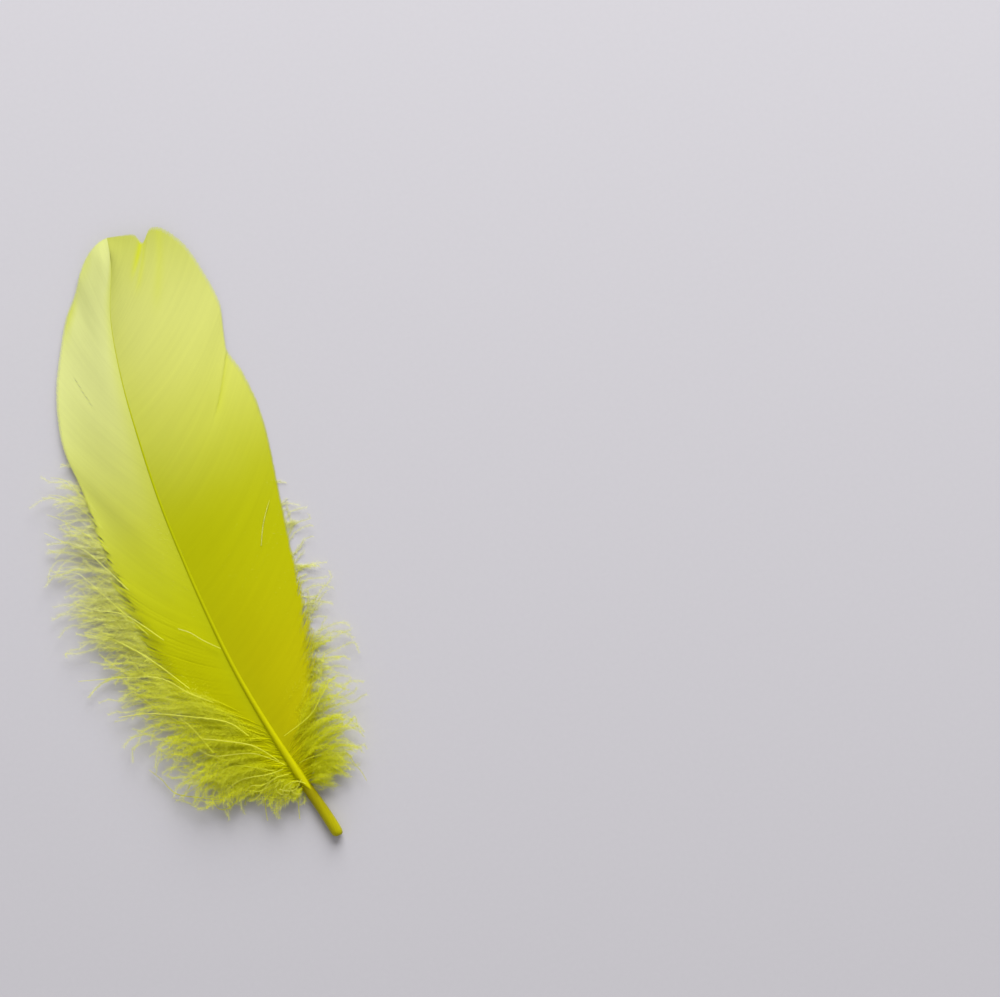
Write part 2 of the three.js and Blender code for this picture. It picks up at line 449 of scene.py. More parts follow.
print("a rod is at most", round(2 * CALAMUS_RADIUS, 1), "mm thick, with", ROD_SIDES, "sides")

# %% [markdown]
# The horn is dyed through. Long faint streaks of growth run along it, made by noise that is
# stretched along the feather, which a plain speckle couldn't show. The same streaks drive
# the colour and a slight bump.

# %% Streaks, and how far along the feather
STREAKS_ACROSS, STREAKS_ALONG = 2600.0, 90.0
STREAK_DEPTH = 0.0001


def streaks(finish):
    """Noise stretched along Y, for growth lines."""
    x, y, z, _ = finish.place()
    vector = combined(finish.tree, x * STREAKS_ACROSS, y * STREAKS_ALONG, z * STREAKS_ACROSS)
    return finish.noise(vector, 1.0)


def streak_bump(finish, lines, strength):
    """A slight bump along the growth lines."""
    inputs = {"Height": lines, "Strength": strength, "Distance": STREAK_DEPTH}
    return finish.wire("ShaderNodeBump", None, inputs)


def along_feather(finish):
    """A wire from 0 at the quill's end to 1 at the tip."""
    return finish.place()[1] / (2 * BOX_MIDDLE[1] * MM) + 0.5


print("0 to 1 along the feather is", 2 * BOX_MIDDLE[1], "mm")

# %% [markdown]
# Horn, silk and down all let some light through, so their finishes end alike: a surface
# mixed with a translucent one, by a share that is small for silk and large for down. A dyed
# surface keeps its tint in the shine, so the shine is yellow, as the real one is under soft
# light.

# %% Surfaces that let light through
DYED_SHINE = (1.0, 0.95, 0.3, 1)


def lit_through(finish, look, glow, share):
    """Ends a finish in a dyed surface, mixed with light that comes through it."""
    dyed_look = {"Specular Tint": DYED_SHINE, **look}
    surface = finish.wire("ShaderNodeBsdfPrincipled", None, dyed_look)
    through = finish.wire("ShaderNodeBsdfTranslucent", None, {"Color": glow})
    mix_inputs = {0: share, 1: surface, 2: through}
    return finish.out(finish.wire("ShaderNodeMixShader", None, mix_inputs))


print("the shine is tinted", DYED_SHINE[:3])

# %% [markdown]
# The calamus is hollow and clear, so light gets into it and it shows a darker gold, paler
# towards its very end. Clear horn could be real glass with a wall, but that is slow and
# noisy to render. A glossy surface mixed with a translucent one gives the same look.

# %% The finish of the calamus
CALAMUS_DARK = (*paint(150, 138, 2), 1)
CALAMUS_LIGHT = (*paint(200, 196, 6), 1)
CALAMUS_GLOW = (*paint(214, 206, 10), 1)
END_PALES_BELOW, END_PALING = 0.06, 7.0
STREAK_SHARE = 0.8
HORN_GLOW = 0.3

calamus_finish = Finish("calamus horn")
lines = streaks(calamus_finish)
endward = (END_PALES_BELOW - along_feather(calamus_finish)) * END_PALING
horn_share = (lines * STREAK_SHARE + endward).clamped()
calamus_look = {
    "Base Color": calamus_finish.blend(horn_share, CALAMUS_DARK, CALAMUS_LIGHT),
    "Roughness": 0.3,
    "Normal": streak_bump(calamus_finish, lines, 0.15),
}
calamus_horn = lit_through(calamus_finish, calamus_look, CALAMUS_GLOW, HORN_GLOW)
print(calamus_horn.name, "has", len(calamus_finish.tree.nodes), "nodes")

# %% [markdown]
# The rachis is full of pith, so it is opaque: pale and bright at its lip and down the lower
# half, where the dye took well, and a darker green yellow between the pale vanes of the
# upper half, partly its own colour and partly painted shade from the valley it sinks into
# there. One ramp along the feather holds those colours.

# %% The finish of the rachis
# The darker stops of the upper half hold painted shade from the valley between the vanes, as well
# as the dye.
RACHIS_DYE_AND_SHADE_STOPS = [
    (0.0, paint(216, 213, 3)),
    (0.13, paint(214, 211, 3)),
    (0.3, paint(206, 206, 3)),
    (0.45, paint(196, 200, 3)),
    (0.6, paint(190, 198, 2)),
    (0.72, paint(190, 198, 6)),
    (0.84, paint(196, 202, 44)),
    (1.0, paint(206, 212, 106)),
]
STREAK_SWING = 0.16

rachis_finish = Finish("rachis horn")
lines = streaks(rachis_finish)
dye_and_shade = rachis_finish.ramp(along_feather(rachis_finish), RACHIS_DYE_AND_SHADE_STOPS)
rachis_colour = rachis_finish.tinted(dye_and_shade, lines * STREAK_SWING + (1 - STREAK_SWING / 2))
rachis_look = {
    "Base Color": rachis_colour,
    "Roughness": 0.5,
    "Specular IOR Level": 0.2,
    "Normal": streak_bump(rachis_finish, lines, 0.2),
}
rachis_horn = lit_through(rachis_finish, rachis_look, rachis_colour, HORN_GLOW)
print(rachis_horn.name, "has", len(rachis_finish.tree.nodes), "nodes")

# %% [markdown]
# The calamus is drawn ring by ring from the pit in its end, over the rounded rim, along the
# tube and on into the rachis, where it narrows out of sight. Its end isn't a half ball: it
# is blunt, with a small dent where blood once fed the growing feather.

# %% Grow the calamus
QUILL_PIT = [(0.9, 0.1), (0.4, 0.28), (0.08, 0.4), (0.0, 0.58)]
QUILL_END = [(0.06, 0.82), (0.3, 1.12), (0.7, 1.33), (1.3, 1.43)]
CALAMUS_BODY = [(3, 1.45), (7, 1.43), (10, 1.4), (13, 1.36), (16, 1.15), (18.5, 0.7)]
calamus_rings = [ring(y, r) for y, r in QUILL_PIT + QUILL_END + CALAMUS_BODY]
hand_over("calamus", rod(calamus_rings, calamus_horn), flat_map=False)

# %% [markdown]
# The rachis starts with a lip that leans over the calamus, because horn ends and pith begins
# along a slant. Further up it sinks between the vanes, so less of it shows, and it thins
# steadily to the tip.

# %% Grow the rachis
LIP = [(14.6, 1.15, 1.7), (13.75, 1.3, 1.9), (13.55, 1.42, 1.9), (13.8, 1.5, 1.85)]
LIP_BACK = [(14.6, 1.51, 1.6), (16.0, 1.45, 1.1), (18.0, 1.3, 0.5)]
RACHIS_STEPS = np.arange(20.5, 147, 3)
RACHIS_TIP = [(148, 0.9), (149.2, 0.6), (150, 0.25)]
GROOVE = 0.35
SHOWN, SUNK = 0.88, 0.26
SUNK_FROM, SUNK_OVER = 50, 70


def rachis_radius(y):
    """The rachis shows less and less of itself over the vanes towards the tip."""
    return shaft_at(y)[2] * (SHOWN - SUNK * min(max((y - SUNK_FROM) / SUNK_OVER, 0), 1))


rachis_rings = [ring(y, r, slant) for y, r, slant in LIP + LIP_BACK]
rachis_rings += [ring(y, rachis_radius(y), 0.0, GROOVE) for y in RACHIS_STEPS]
rachis_rings += [ring(y, rachis_radius(y) * share, 0.0, GROOVE) for y, share in RACHIS_TIP]
hand_over("rachis", rod(rachis_rings, rachis_horn), flat_map=False)

# %% [markdown]
# Now the vanes. A real barb is a fine blade whose barbules hook on to the next one, and all
# of them make one silky sheet. A textured sheet would be simpler, but its edge would be a
# clean cut and no slit could open in it. So each barb is a thin closed blade with a ridge
# along its middle, and the sheet is as many of them as the eye can't count.

# %% Guide barbs of the two vanes
LEFT_GUIDES = [
    [14, -11, 17, 1.6],
    [22, -19, 25.5, 1.5],
    [32, -24, 38, 1.3],
    [42, -27, 53, 1.6],
    [52, -28.6, 69, 2.0],
    [61, -29.2, 84, 2.1],
    [70, -29.5, 98, 1.9],
    [79, -30.4, 108.5, 1.5],
    [88, -29.3, 116.5, 1.2],
    [97, -26.8, 124.5, 1.0],
    [106, -23.2, 131.8, 0.9],
    [115, -19.3, 138.6, 1.0],
    [123, -15.2, 143.5, 1.2],
    [131, -12, 148.2, 1.8],
    [138, -8.7, 151.5, 2.2],
    [144, -5.4, 153.2, 2.6],
    [149, -3.1, 153.5, 2.8],
]
RIGHT_GUIDES = [
    [14, 0.5, 18.5, 1.6],
    [20, 4.5, 28, 1.4],
    [27, 7.5, 38, 1.2],
    [35, 9.8, 49, 1.0],
    [44, 11.8, 62, 0.8],
    [53, 13.6, 75, 0.5],
    [62, 15.4, 87, 0.25],
    [70, 16.7, 96, 0.25],
    [78, 17.1, 104.5, 0.25],
    [85, 16.2, 113, 0.4],
    [90, 14.6, 118.3, 0.6],
    [98, 15.6, 124, 0.5],
    [107, 16.8, 130, 0.6],
    [115, 15.9, 137, 0.8],
    [122, 14.0, 145, 1.2],
    [128, 10.6, 150.6, 1.7],
    [131.5, 7.4, 152.2, 2.2],
    [134, 4.5, 149.6, 2.6],
    [139, 3.2, 152.0, 2.75],
    [144, 0.5, 152.8, 2.75],
    [149, -3.1, 153.5, 2.8],
]
print("guide barbs:", len(LEFT_GUIDES), "on the left and", len(RIGHT_GUIDES), "on the right")

# %% [markdown]
# Between the shaft and its edge a vane is domed: it leaves the shaft nearly level and bends
# down to the table. Each guide row holds where a barb starts on the shaft, where it ends and
# how high its end lies. A barb bows a little towards the tip on its way out.

# %% The domed surface of a vane
LEFT_BOW, RIGHT_BOW = math.radians(9), math.radians(13)
BOW_FADE = 4.0
VANE_RISE, FULL_RISE_LENGTH = 0.8, 20.0
VANE_DROP_POWER = 1.55


def vane_surface(guides, place, share):
    """Points of the smooth vane: place counts guides, share runs from shaft to edge."""
    row = rows_at(guides, place)
    root_y, tip_x, tip_y, tip_z = (row[..., k] for k in range(4))
    root_x, root_z, _ = shaft_at(root_y)
    leftward = np.clip((root_x - tip_x) / BOW_FADE, -1, 1)
    bow = np.where(leftward > 0, LEFT_BOW, RIGHT_BOW) * leftward
    half_x, half_y = (tip_x - root_x) / 2, (tip_y - root_y) / 2
    middle_x = root_x + half_x * np.cos(bow) - half_y * np.sin(bow)
    middle_y = root_y + half_x * np.sin(bow) + half_y * np.cos(bow)
    near, mid, far = (1 - share) ** 2, 2 * share * (1 - share), share**2
    x = near * root_x + mid * middle_x + far * tip_x
    y = near * root_y + mid * middle_y + far * tip_y
    drop = (root_z - tip_z) * share**VANE_DROP_POWER
    rise = VANE_RISE * np.minimum(2 * np.hypot(half_x, half_y) / FULL_RISE_LENGTH, 1)
    z = root_z - drop + rise * np.sin(math.pi * share) * (1 - share)
    return np.stack(np.broadcast_arrays(x, y, z), axis=-1)


half_way = vane_surface(LEFT_GUIDES, np.array(8.0), np.array(0.5))
print("half way out, the left vane is", round(float(half_way[2]), 1), "mm high")

# %% [markdown]
# No vane is perfect. Small changes are added to the smooth surface: a gentle swell, outer
# strips that turn down, a slit where two barbs have let go, a notch with a fold at the tip,
# two creases, and a split on the right where the upper part overlaps the lower. Each is a
# smooth bump in place and share, and also says how much painted shade deepens the colour there.

# %% Smooth steps and bumps
def step(low, high, value):
    """0 before low, 1 past high and a smooth ramp between. It can run downwards too."""
    t = np.clip((value - low) / (high - low), 0, 1)
    return t * t * (3 - 2 * t)


def bump_at(middle, width, value):
    """A smooth bump of height 1."""
    return np.exp(-(((value - middle) / width) ** 2))


print("a third of the way up a step it is", round(float(step(0, 3, 1)), 2))

# %% [markdown]
# On the left vane two strips of the edge turn down, one above the other, with a soft ridge
# above them, and at one place two barbs have let go of each other and left a thin slit. The
# slit is made by moving the barbs on its two sides apart, not by cutting a hole.

# %% What has happened to the left vane
SWELL_HEIGHT = 0.05
HIGH_STRIP, LOW_STRIP, RIDGE = (13.5, 0.7), (11.3, 0.75), (14.7, 0.5)
NEAR_SHAFT = (0.0, 0.16)
SLIT_PLACE, SLIT_SHARE, SLIT_LEAN = 9.60, 0.53, 0.96
SLIT_HALF_WIDTH = 0.01
CUT_FADE = 0.3


def swell(place, share):
    """The gentle unevenness of a vane, in millimetres."""
    wide = np.sin(1.3 * place + 2.2 * share) + 0.6 * np.sin(2.3 * place - 3.0 * share + 1.0)
    return SWELL_HEIGHT * wide * np.sin(math.pi * np.clip(share, 0, 1)) ** 0.7


def drawn_apart(place, line, half_width):
    """How far the barbs on both sides of a line move away from it."""
    side = np.where(place > line, 1.0, -1.0)
    return half_width * side * np.exp(-np.abs(place - line) / CUT_FADE)


def left_changes(place, share):
    """Height to add on the left vane, and the painted shade of its colour."""
    high_strip = bump_at(*HIGH_STRIP, place) * step(0.72, 1.0, share)
    low_strip = bump_at(*LOW_STRIP, place) * step(0.84, 1.0, share)
    ridge = bump_at(*RIDGE, place) * step(0.1, 0.5, share) * step(1.05, 0.7, share)
    height = swell(place, share) - 0.2 * high_strip - 0.25 * low_strip + 0.15 * ridge
    # Painted shade: the turned-down strips and the strip beside the shaft get deeper colour, and
    # the ridge takes some painted shade away.
    near_shaft = bump_at(*NEAR_SHAFT, share)
    return height, 0.3 * high_strip + 0.85 * low_strip - 0.35 * ridge + 0.5 * near_shaft


def left_cuts(place, share):
    """How far each barb moves along the vane, as a share of a guide's step."""
    line = SLIT_PLACE + (share - SLIT_SHARE) * SLIT_LEAN
    open_here = step(0.5, 0.6, share) * step(0.86, 0.74, share)
    return open_here * drawn_apart(place, line, SLIT_HALF_WIDTH)


turned_down = -float(left_changes(HIGH_STRIP[0], 1.0)[0])
print("the high strip turns down by", round(turned_down, 2), "mm")

# %% [markdown]
# The right vane has a deep fold beside the notch at the tip, two creases that run out with
# the barbs, and a split half way down its edge, where the upper part laps over the lower one
# and the lower one is in its shade. Painted shade deepens the colour of the fold, the creases
# and that lower lobe.

# %% What has happened to the right vane
FOLD = (17.25, 0.3)
SPLIT_PLACE, SPLIT_SHARE, SPLIT_LEAN = 9.68, 0.72, 1.54
SPLIT_HALF_WIDTH = 0.004


def split_line(share):
    """The place of the split at each share of the way out."""
    return SPLIT_PLACE + (share - SPLIT_SHARE) * SPLIT_LEAN


def right_changes(place, share):
    """Height to add on the right vane, and the painted shade of its colour."""
    fold = bump_at(*FOLD, place) * step(0.45, 0.85, share)
    crease_a = bump_at(15.78 + (share - 0.5) * 1.92, 0.28, place) * step(0.38, 0.55, share)
    crease_b = bump_at(14.53 + (share - 0.59) * 2.19, 0.25, place) * step(0.42, 0.62, share)
    split = split_line(share)
    near_split = step(0.62, 0.74, share)
    over = np.where(place > split, 1.0, 0.0) * np.exp(-np.abs(place - split) / 0.8)
    under = np.where(place > split, 0.0, 1.0) * np.exp(-np.abs(place - split) / 0.25)
    height = swell(place + 0.7, share) - 0.06 * fold - 0.05 * crease_a - 0.04 * crease_b
    height = height + near_split * (0.16 * over - 0.08 * under)
    # Painted shade: the fold, the creases, the strip beside the shaft and the lobe under the
    # split.
    painted_shade = fold + 0.4 * crease_a + 0.3 * crease_b
    painted_shade = painted_shade + 0.15 * bump_at(*NEAR_SHAFT, share) + 0.55 * near_split * under
    return height, painted_shade


def right_cuts(place, share):
    """The split draws its barbs apart a little."""
    return step(0.66, 0.8, share) * drawn_apart(place, split_line(share), SPLIT_HALF_WIDTH)


print("the fold deepens the colour by", round(float(right_changes(FOLD[0], 1.0)[1]), 2))

# %% [markdown]
# The blades are guides first: one open line of points for each barb. With each point go two
# directions, across the barb and up out of the vane, so that a blade lies in the sheet and
# is just wide enough to meet its neighbours. Low on the feather the barbs no longer hook,
# so they get thin and drift apart towards their tips. Each side has a place on the shaft
# above which all barbs hook, and one below which none do.

# %% Lay out the barbs of a vane
BARB_STATIONS = 22
BARB_OVERLAP = 1.25
VANE_LOWEST, VANE_HIGHEST = 0.12, 6.3
LEFT_HOOKS = (74.0, 34.0)
RIGHT_HOOKS = (52.0, 22.0)
HOOKED_UNEVENNESS, LOOSE_UNEVENNESS = (-0.005, 0.003), (-0.14, 0.3)
LOOSE_DRIFT, DRIFT_PACES = 2.0, (2.3, 5.1, 11.0, 23.0)
BLUNT_TIP, LOOSE_THINNING = 0.4, 0.8


def drift(place, share, seed):
    """Slow random sideways wander, the same for barbs that lie close."""
    rng = np.random.default_rng(seed)
    total = 0
    for pace in DRIFT_PACES:
        turn_a, turn_b = rng.uniform(0, 6.28, 2)
        total = total + np.sin(pace * place + turn_a) * np.sin(3.3 * share + turn_b) / pace**0.6
    return total


def lay_barbs(guides, count, changes, cuts, hooks, seed):
    """Guide points of every barb, with the numbers that go with each point."""
    rng = np.random.default_rng(seed)
    place = np.linspace(0, len(guides) - 1, count)[:, None]
    root_y = rows_at(guides, place)[..., 0]
    loose = step(*hooks, root_y)
    reach = 1 + rng.uniform(*HOOKED_UNEVENNESS, (count, 1))
    reach = reach + loose * rng.uniform(*LOOSE_UNEVENNESS, (count, 1))
    stations = np.linspace(0, 1, BARB_STATIONS)[None, :]
    share = stations * reach
    smooth = vane_surface(guides, place, share)
    height, painted_shade = changes(place, share)
    smooth[..., 2] = np.clip(smooth[..., 2] + height, VANE_LOWEST, VANE_HIGHEST)
    along = np.gradient(smooth, axis=1)
    along /= np.linalg.norm(along, axis=-1, keepdims=True)
    beside = np.gradient(smooth, axis=0)
    beside -= along * (beside * along).sum(-1, keepdims=True)
    upward = np.cross(along, beside)
    handed = np.sign(upward[..., 2:])
    upward *= handed / np.linalg.norm(upward, axis=-1, keepdims=True)
    steps = (count - 1) / (len(guides) - 1)
    shift = cuts(place, share) * steps
    shift = shift + loose * step(0.5, 1.0, share) * drift(place, share, seed) * LOOSE_DRIFT
    centre = smooth + beside * shift[..., None]
    ends = step(1.0, 0.96, stations) * (1 - BLUNT_TIP) + BLUNT_TIP
    thin = 1 - loose * LOOSE_THINNING * step(0.6, 1.05, share)
    across = beside * -handed * (0.5 * BARB_OVERLAP * thin * ends * MM)[..., None]
    centre[..., 2] = np.clip(centre[..., 2], VANE_LOWEST, VANE_HIGHEST)
    ways = {"across": across, "upward": upward}
    return {"centre": centre, **ways, "painted_shade": painted_shade, "share": share}


print("each barb is laid out as", BARB_STATIONS, "points")

# %% [markdown]
# Geometry Nodes can't read Python's arrays, so the lines first become a mesh of bare edges,
# and every number that goes with a point becomes an attribute of that point. The graphs
# below read these by name. So do the shaders, because attributes stay on the swept mesh.

# %% Turn guides into a mesh of lines with attributes
def line_mesh(name, rows):
    """rows: centre and other values for each point, as arrays of (lines, points, ...)."""
    centre = in_frame(rows["centre"])
    lines, points = centre.shape[:2]
    index = np.arange(lines * points).reshape(lines, points)
    edges = np.stack([index[:, :-1].ravel(), index[:, 1:].ravel()], axis=1)
    mesh = bpy.data.meshes.new(name)
    mesh.from_pydata(centre.reshape(-1, 3).tolist(), edges.tolist(), [])
    for key, values in rows.items():
        if key == "centre":
            continue
        wide = values.ndim == 3
        kind = "FLOAT_VECTOR" if wide else "FLOAT"
        attribute = mesh.attributes.new(key, kind, "POINT")
        full = np.broadcast_to(values, centre.shape if wide else (lines, points))
        field = "vector" if wide else "value"
        attribute.data.foreach_set(field, full.astype(np.float32).ravel())
    barb_number = mesh.attributes.new("barb", "INT", "POINT")
    barb_number.data.foreach_set("value", np.repeat(np.arange(lines), points).astype(np.int32))
    return mesh


print("each point keeps its barb's number, for tone and for chance")

# %% [markdown]
# A Geometry Nodes graph is built like a shader, from nodes and links. These helpers make an
# empty graph with named inputs, read and store attributes, draw random numbers from a fixed
# seed, and end a graph so that it gives one plain mesh with its material.

# %% Helpers for Geometry Nodes
def new_graph(name, sockets):
    """An empty geometry graph with named inputs. sockets: [(name, kind), ...]."""
    tree = bpy.data.node_groups.new(name, "GeometryNodeTree")
    tree.interface.new_socket("Geometry", in_out="INPUT", socket_type="NodeSocketGeometry")
    for label, kind in sockets:
        tree.interface.new_socket(label, in_out="INPUT", socket_type="NodeSocket" + kind)
    tree.interface.new_socket("Geometry", in_out="OUTPUT", socket_type="NodeSocketGeometry")
    return tree, add_node(tree, "NodeGroupInput").outputs


def named(tree, name, kind="FLOAT"):
    """An attribute of the mesh of lines."""
    settings = {"data_type": kind}
    made = add_node(tree, "GeometryNodeInputNamedAttribute", settings, {"Name": name})
    return Wire(tree, made.outputs[0])


def stored(tree, geometry, name, value):
    """The geometry with a vector kept at each point under a name."""
    settings = {"data_type": "FLOAT_VECTOR", "domain": "POINT"}
    inputs = {"Geometry": geometry, "Name": name, "Value": value}
    return add_node(tree, "GeometryNodeStoreNamedAttribute", settings, inputs).outputs[0]


def vector_math(tree, operation, first, second, output=0):
    """Vector maths. A number that scales a vector goes into the fourth socket."""
    second_place = 3 if operation == "SCALE" else 1
    inputs = {0: first, second_place: second}
    made = add_node(tree, "ShaderNodeVectorMath", {"operation": operation}, inputs)
    return Wire(tree, made.outputs[output])


def parts_of(tree, vector):
    """Wires for the X, Y and Z of a vector."""
    made = add_node(tree, "ShaderNodeSeparateXYZ", None, {0: vector})
    return [Wire(tree, s) for s in made.outputs]


def triangle_outline(tree):
    """A closed curve with three corners, which gets swept along each line."""
    inputs = {"Resolution": 3, "Radius": 1.0}
    return add_node(tree, "GeometryNodeCurvePrimitiveCircle", None, inputs).outputs[0]


def chance(tree, low, high, seed, number=None):
    """A random number from low to high."""
    inputs = {2: low, 3: high, 8: seed}
    if number is not None:
        inputs[7] = number
    made = add_node(tree, "FunctionNodeRandomValue", {"data_type": "FLOAT"}, inputs)
    return Wire(tree, made.outputs[1])


print("graph helpers: inputs, attributes, vectors, an outline, chance")

# %% [markdown]
# A modifier runs the graph on the mesh of lines. Its inputs are set by each socket's
# identifier, because the names are only labels, and the result is copied out as a plain
# mesh. The modifier goes away with the object that held it.

# %% Close a graph and grow a mesh
def close_graph(tree, geometry, finish):
    """Ends a graph in Realize Instances and Set Material."""
    real = add_node(tree, "GeometryNodeRealizeInstances", None, {0: geometry})
    inputs = {"Geometry": real.outputs[0], "Material": finish}
    painted = add_node(tree, "GeometryNodeSetMaterial", None, inputs)
    add_node(tree, "NodeGroupOutput", None, {0: painted.outputs[0]})


def grown_mesh(lines, tree, values):
    """The plain mesh that a graph makes from a mesh of lines."""
    holder = bpy.data.objects.new("lines", lines)
    bpy.context.scene.collection.objects.link(holder)
    modifier = holder.modifiers.new("grow", "NODES")
    modifier.node_group = tree
    for item in tree.interface.items_tree:
        if item.in_out == "INPUT" and item.name in values:
            modifier[item.identifier] = values[item.name]
    evaluated = holder.evaluated_get(bpy.context.evaluated_depsgraph_get())
    mesh = bpy.data.meshes.new_from_object(evaluated)
    bpy.data.objects.remove(holder)
    mesh.materials.clear()
    mesh.materials.append(values["Finish"])
    mesh.polygons.foreach_set("material_index", [0] * len(mesh.polygons))
    return mesh


print("a grown mesh has one material and no modifier")

# %% [markdown]
# A small graph turns the lines into blades. It sweeps a triangle along each line and then
# puts every corner where the line's own attributes say, so the blades can't twist. Each
# blade is tipped a little, as a roof tile is, and lifted by a random hair's breadth, so two
# that overlap never lie in one plane.

# %% The graph that makes blades
TRIANGLE_HEIGHT = math.sqrt(3) / 2
SHARP_ANGLE = 1.0


def blade_graph():
    """Triangles swept along the lines, each corner put where the attributes say."""
    sockets = [("Ridge", "Float"), ("Shingle", "Float"), ("Lift", "Float")]
    tree, given = new_graph("barb blades", sockets + [("Seed", "Int"), ("Finish", "Material")])
    position = add_node(tree, "GeometryNodeInputPosition").outputs[0]
    curve = add_node(tree, "GeometryNodeMeshToCurve", None, {0: given["Geometry"]})
    line = stored(tree, curve.outputs[0], "centre", position)
    section = stored(tree, triangle_outline(tree), "corner", position)
    inputs = {"Curve": line, "Profile Curve": section, "Fill Caps": True}
    swept = add_node(tree, "GeometryNodeCurveToMesh", None, inputs).outputs[0]
    corner_x, corner_y, _ = parts_of(tree, named(tree, "corner", "FLOAT_VECTOR"))
    side = corner_y / TRIANGLE_HEIGHT
    lift = chance(tree, -1.0, 1.0, given["Seed"], named(tree, "barb", "INT"))
    across = named(tree, "across", "FLOAT_VECTOR")
    half_width = vector_math(tree, "LENGTH", across, (0.0, 0.0, 0.0), output=1)
    height = corner_x * Wire(tree, given["Ridge"]) + side * Wire(tree, given["Shingle"])
    height = height * half_width + lift * Wire(tree, given["Lift"])
    sideways = vector_math(tree, "SCALE", across, side)
    up = vector_math(tree, "SCALE", named(tree, "upward", "FLOAT_VECTOR"), height)
    offset = vector_math(tree, "ADD", sideways, up)
    place = vector_math(tree, "ADD", named(tree, "centre", "FLOAT_VECTOR"), offset)
    placed = add_node(
        tree, "GeometryNodeSetPosition", None, {"Geometry": swept, "Position": place}
    )
    edge_angle = Wire(tree, add_node(tree, "GeometryNodeInputMeshEdgeAngle").outputs[0])
    shaded = add_node(
        tree,
        "GeometryNodeSetShadeSmooth",
        {"domain": "EDGE"},
        {
            "Geometry": placed.outputs[0],
            "Selection": edge_angle.math("GREATER_THAN", SHARP_ANGLE),
            "Shade Smooth": False,
        },
    )
    close_graph(tree, shaded.outputs[0], given["Finish"])
    return tree


blades = blade_graph()
print(blades.name, "has", len(blades.nodes), "nodes")

# %% [markdown]
# The vane's colour runs from pale lemon at the tip to a strong yellow green at the base,
# where the dye took more and the barbs lie thicker. It is a short ramp along the feather,
# one for each side, because the left vane turns away from the light: its ramp is paler and
# holds a painted sheen.
# Each barb is a touch lighter or darker than the next. Light also comes through a vane from
# below, so the shader is partly translucent.

# %% Colours along the vanes
# The left stops are paler: they hold a painted sheen as well as the dye.
LEFT_STOPS_WITH_SHEEN = [
    (0.0, paint(206, 201, 1)),
    (0.26, paint(219, 219, 1)),
    (0.42, paint(230, 236, 6)),
    (0.54, paint(230, 235, 68)),
    (0.64, paint(235, 240, 124)),
    (0.74, paint(237, 242, 154)),
    (0.86, paint(233, 238, 160)),
    (1.0, paint(208, 214, 134)),
]
RIGHT_STOPS = [
    (0.0, paint(196, 188, 1)),
    (0.3, paint(195, 190, 1)),
    (0.46, paint(186, 189, 1)),
    (0.57, paint(187, 191, 6)),
    (0.66, paint(199, 204, 70)),
    (0.76, paint(212, 216, 106)),
    (0.88, paint(212, 216, 126)),
    (1.0, paint(186, 192, 80)),
]
# The colour that painted shade pulls folds, creases and strips towards.
PAINTED_SHADE_YELLOW = (*paint(205, 212, 18), 1)
print("stops:", len(LEFT_STOPS_WITH_SHEEN), "on the left vane and", len(RIGHT_STOPS), "on the right")

# %% [markdown]
# One shader serves both vanes, each with its own ramp. Soft patches make the colour's edge
# wander along the feather, and the painted_shade attribute paints shade into folds, creases,
# turned-down strips and the strip beside the shaft. On the left each barb is also painted
# lighter towards its end, partly its own paler end and partly painted light against the
# dome's shade. Noise across the barbs' numbers gives each its own tone. A stripe pattern
# would be quicker, but its beat shows as bands.

# %% The finish of a vane
PATCHES_TO_A_METRE, WANDER = 55.0, 0.035
PAINTED_SHADE_STRENGTH = 0.75
TONES_PER_BARB, TONES_OUTWARD, TONE_DETAIL = 0.21, 1.2, 4.0
BARB_SWING = 0.12
EDGE_LIGHT_FROM = 0.45
SILK_GLOW = 0.2


def vane_finish(name, stops, edge_light_paint, seed_shift):
    """Silky barbs: a ramp along the feather, painted shade in folds, and on the left barbs
    painted lighter towards the edge.
    """
    finish = Finish(name)
    patches = finish.noise(finish.place()[3], PATCHES_TO_A_METRE)
    wander = (patches - 0.5) * WANDER
    base = finish.ramp((along_feather(finish) + wander).clamped(), stops)
    # Painted shade: the colour moves towards a deep yellow where the painted_shade attribute
    # says.
    with_painted_shade = finish.blend((finish.attribute("painted_shade") * PAINTED_SHADE_STRENGTH).clamped(), base, PAINTED_SHADE_YELLOW)
    number = finish.attribute("barb") * TONES_PER_BARB
    outward = finish.attribute("share") * TONES_OUTWARD
    lane = combined(finish.tree, number, outward, seed_shift)
    # Painted light: left barbs get lighter towards their ends, partly their own paler ends and
    # partly painted light against the dome's shade.
    paler = (finish.attribute("share").clamped() - EDGE_LIGHT_FROM) * edge_light_paint
    barb_noise = finish.noise(lane, 1.0, TONE_DETAIL)
    barb_tone_and_edge_light = barb_noise * BARB_SWING + (1 - BARB_SWING / 2) + paler
    colour = finish.tinted(with_painted_shade, barb_tone_and_edge_light)
    look = {"Base Color": colour, "Roughness": 0.5, "Specular IOR Level": 0.2}
    return lit_through(finish, look, colour, SILK_GLOW)


print("the share of a vane's light that comes through is", SILK_GLOW)

# %% [markdown]
# With guides, changes, graph and finish ready, the two vanes grow in one loop. The ridge and
# the tilt of a blade are each about a sixth of its half width, so that every blade leans
# alike, wide or narrow: just enough to catch the light as silk does.

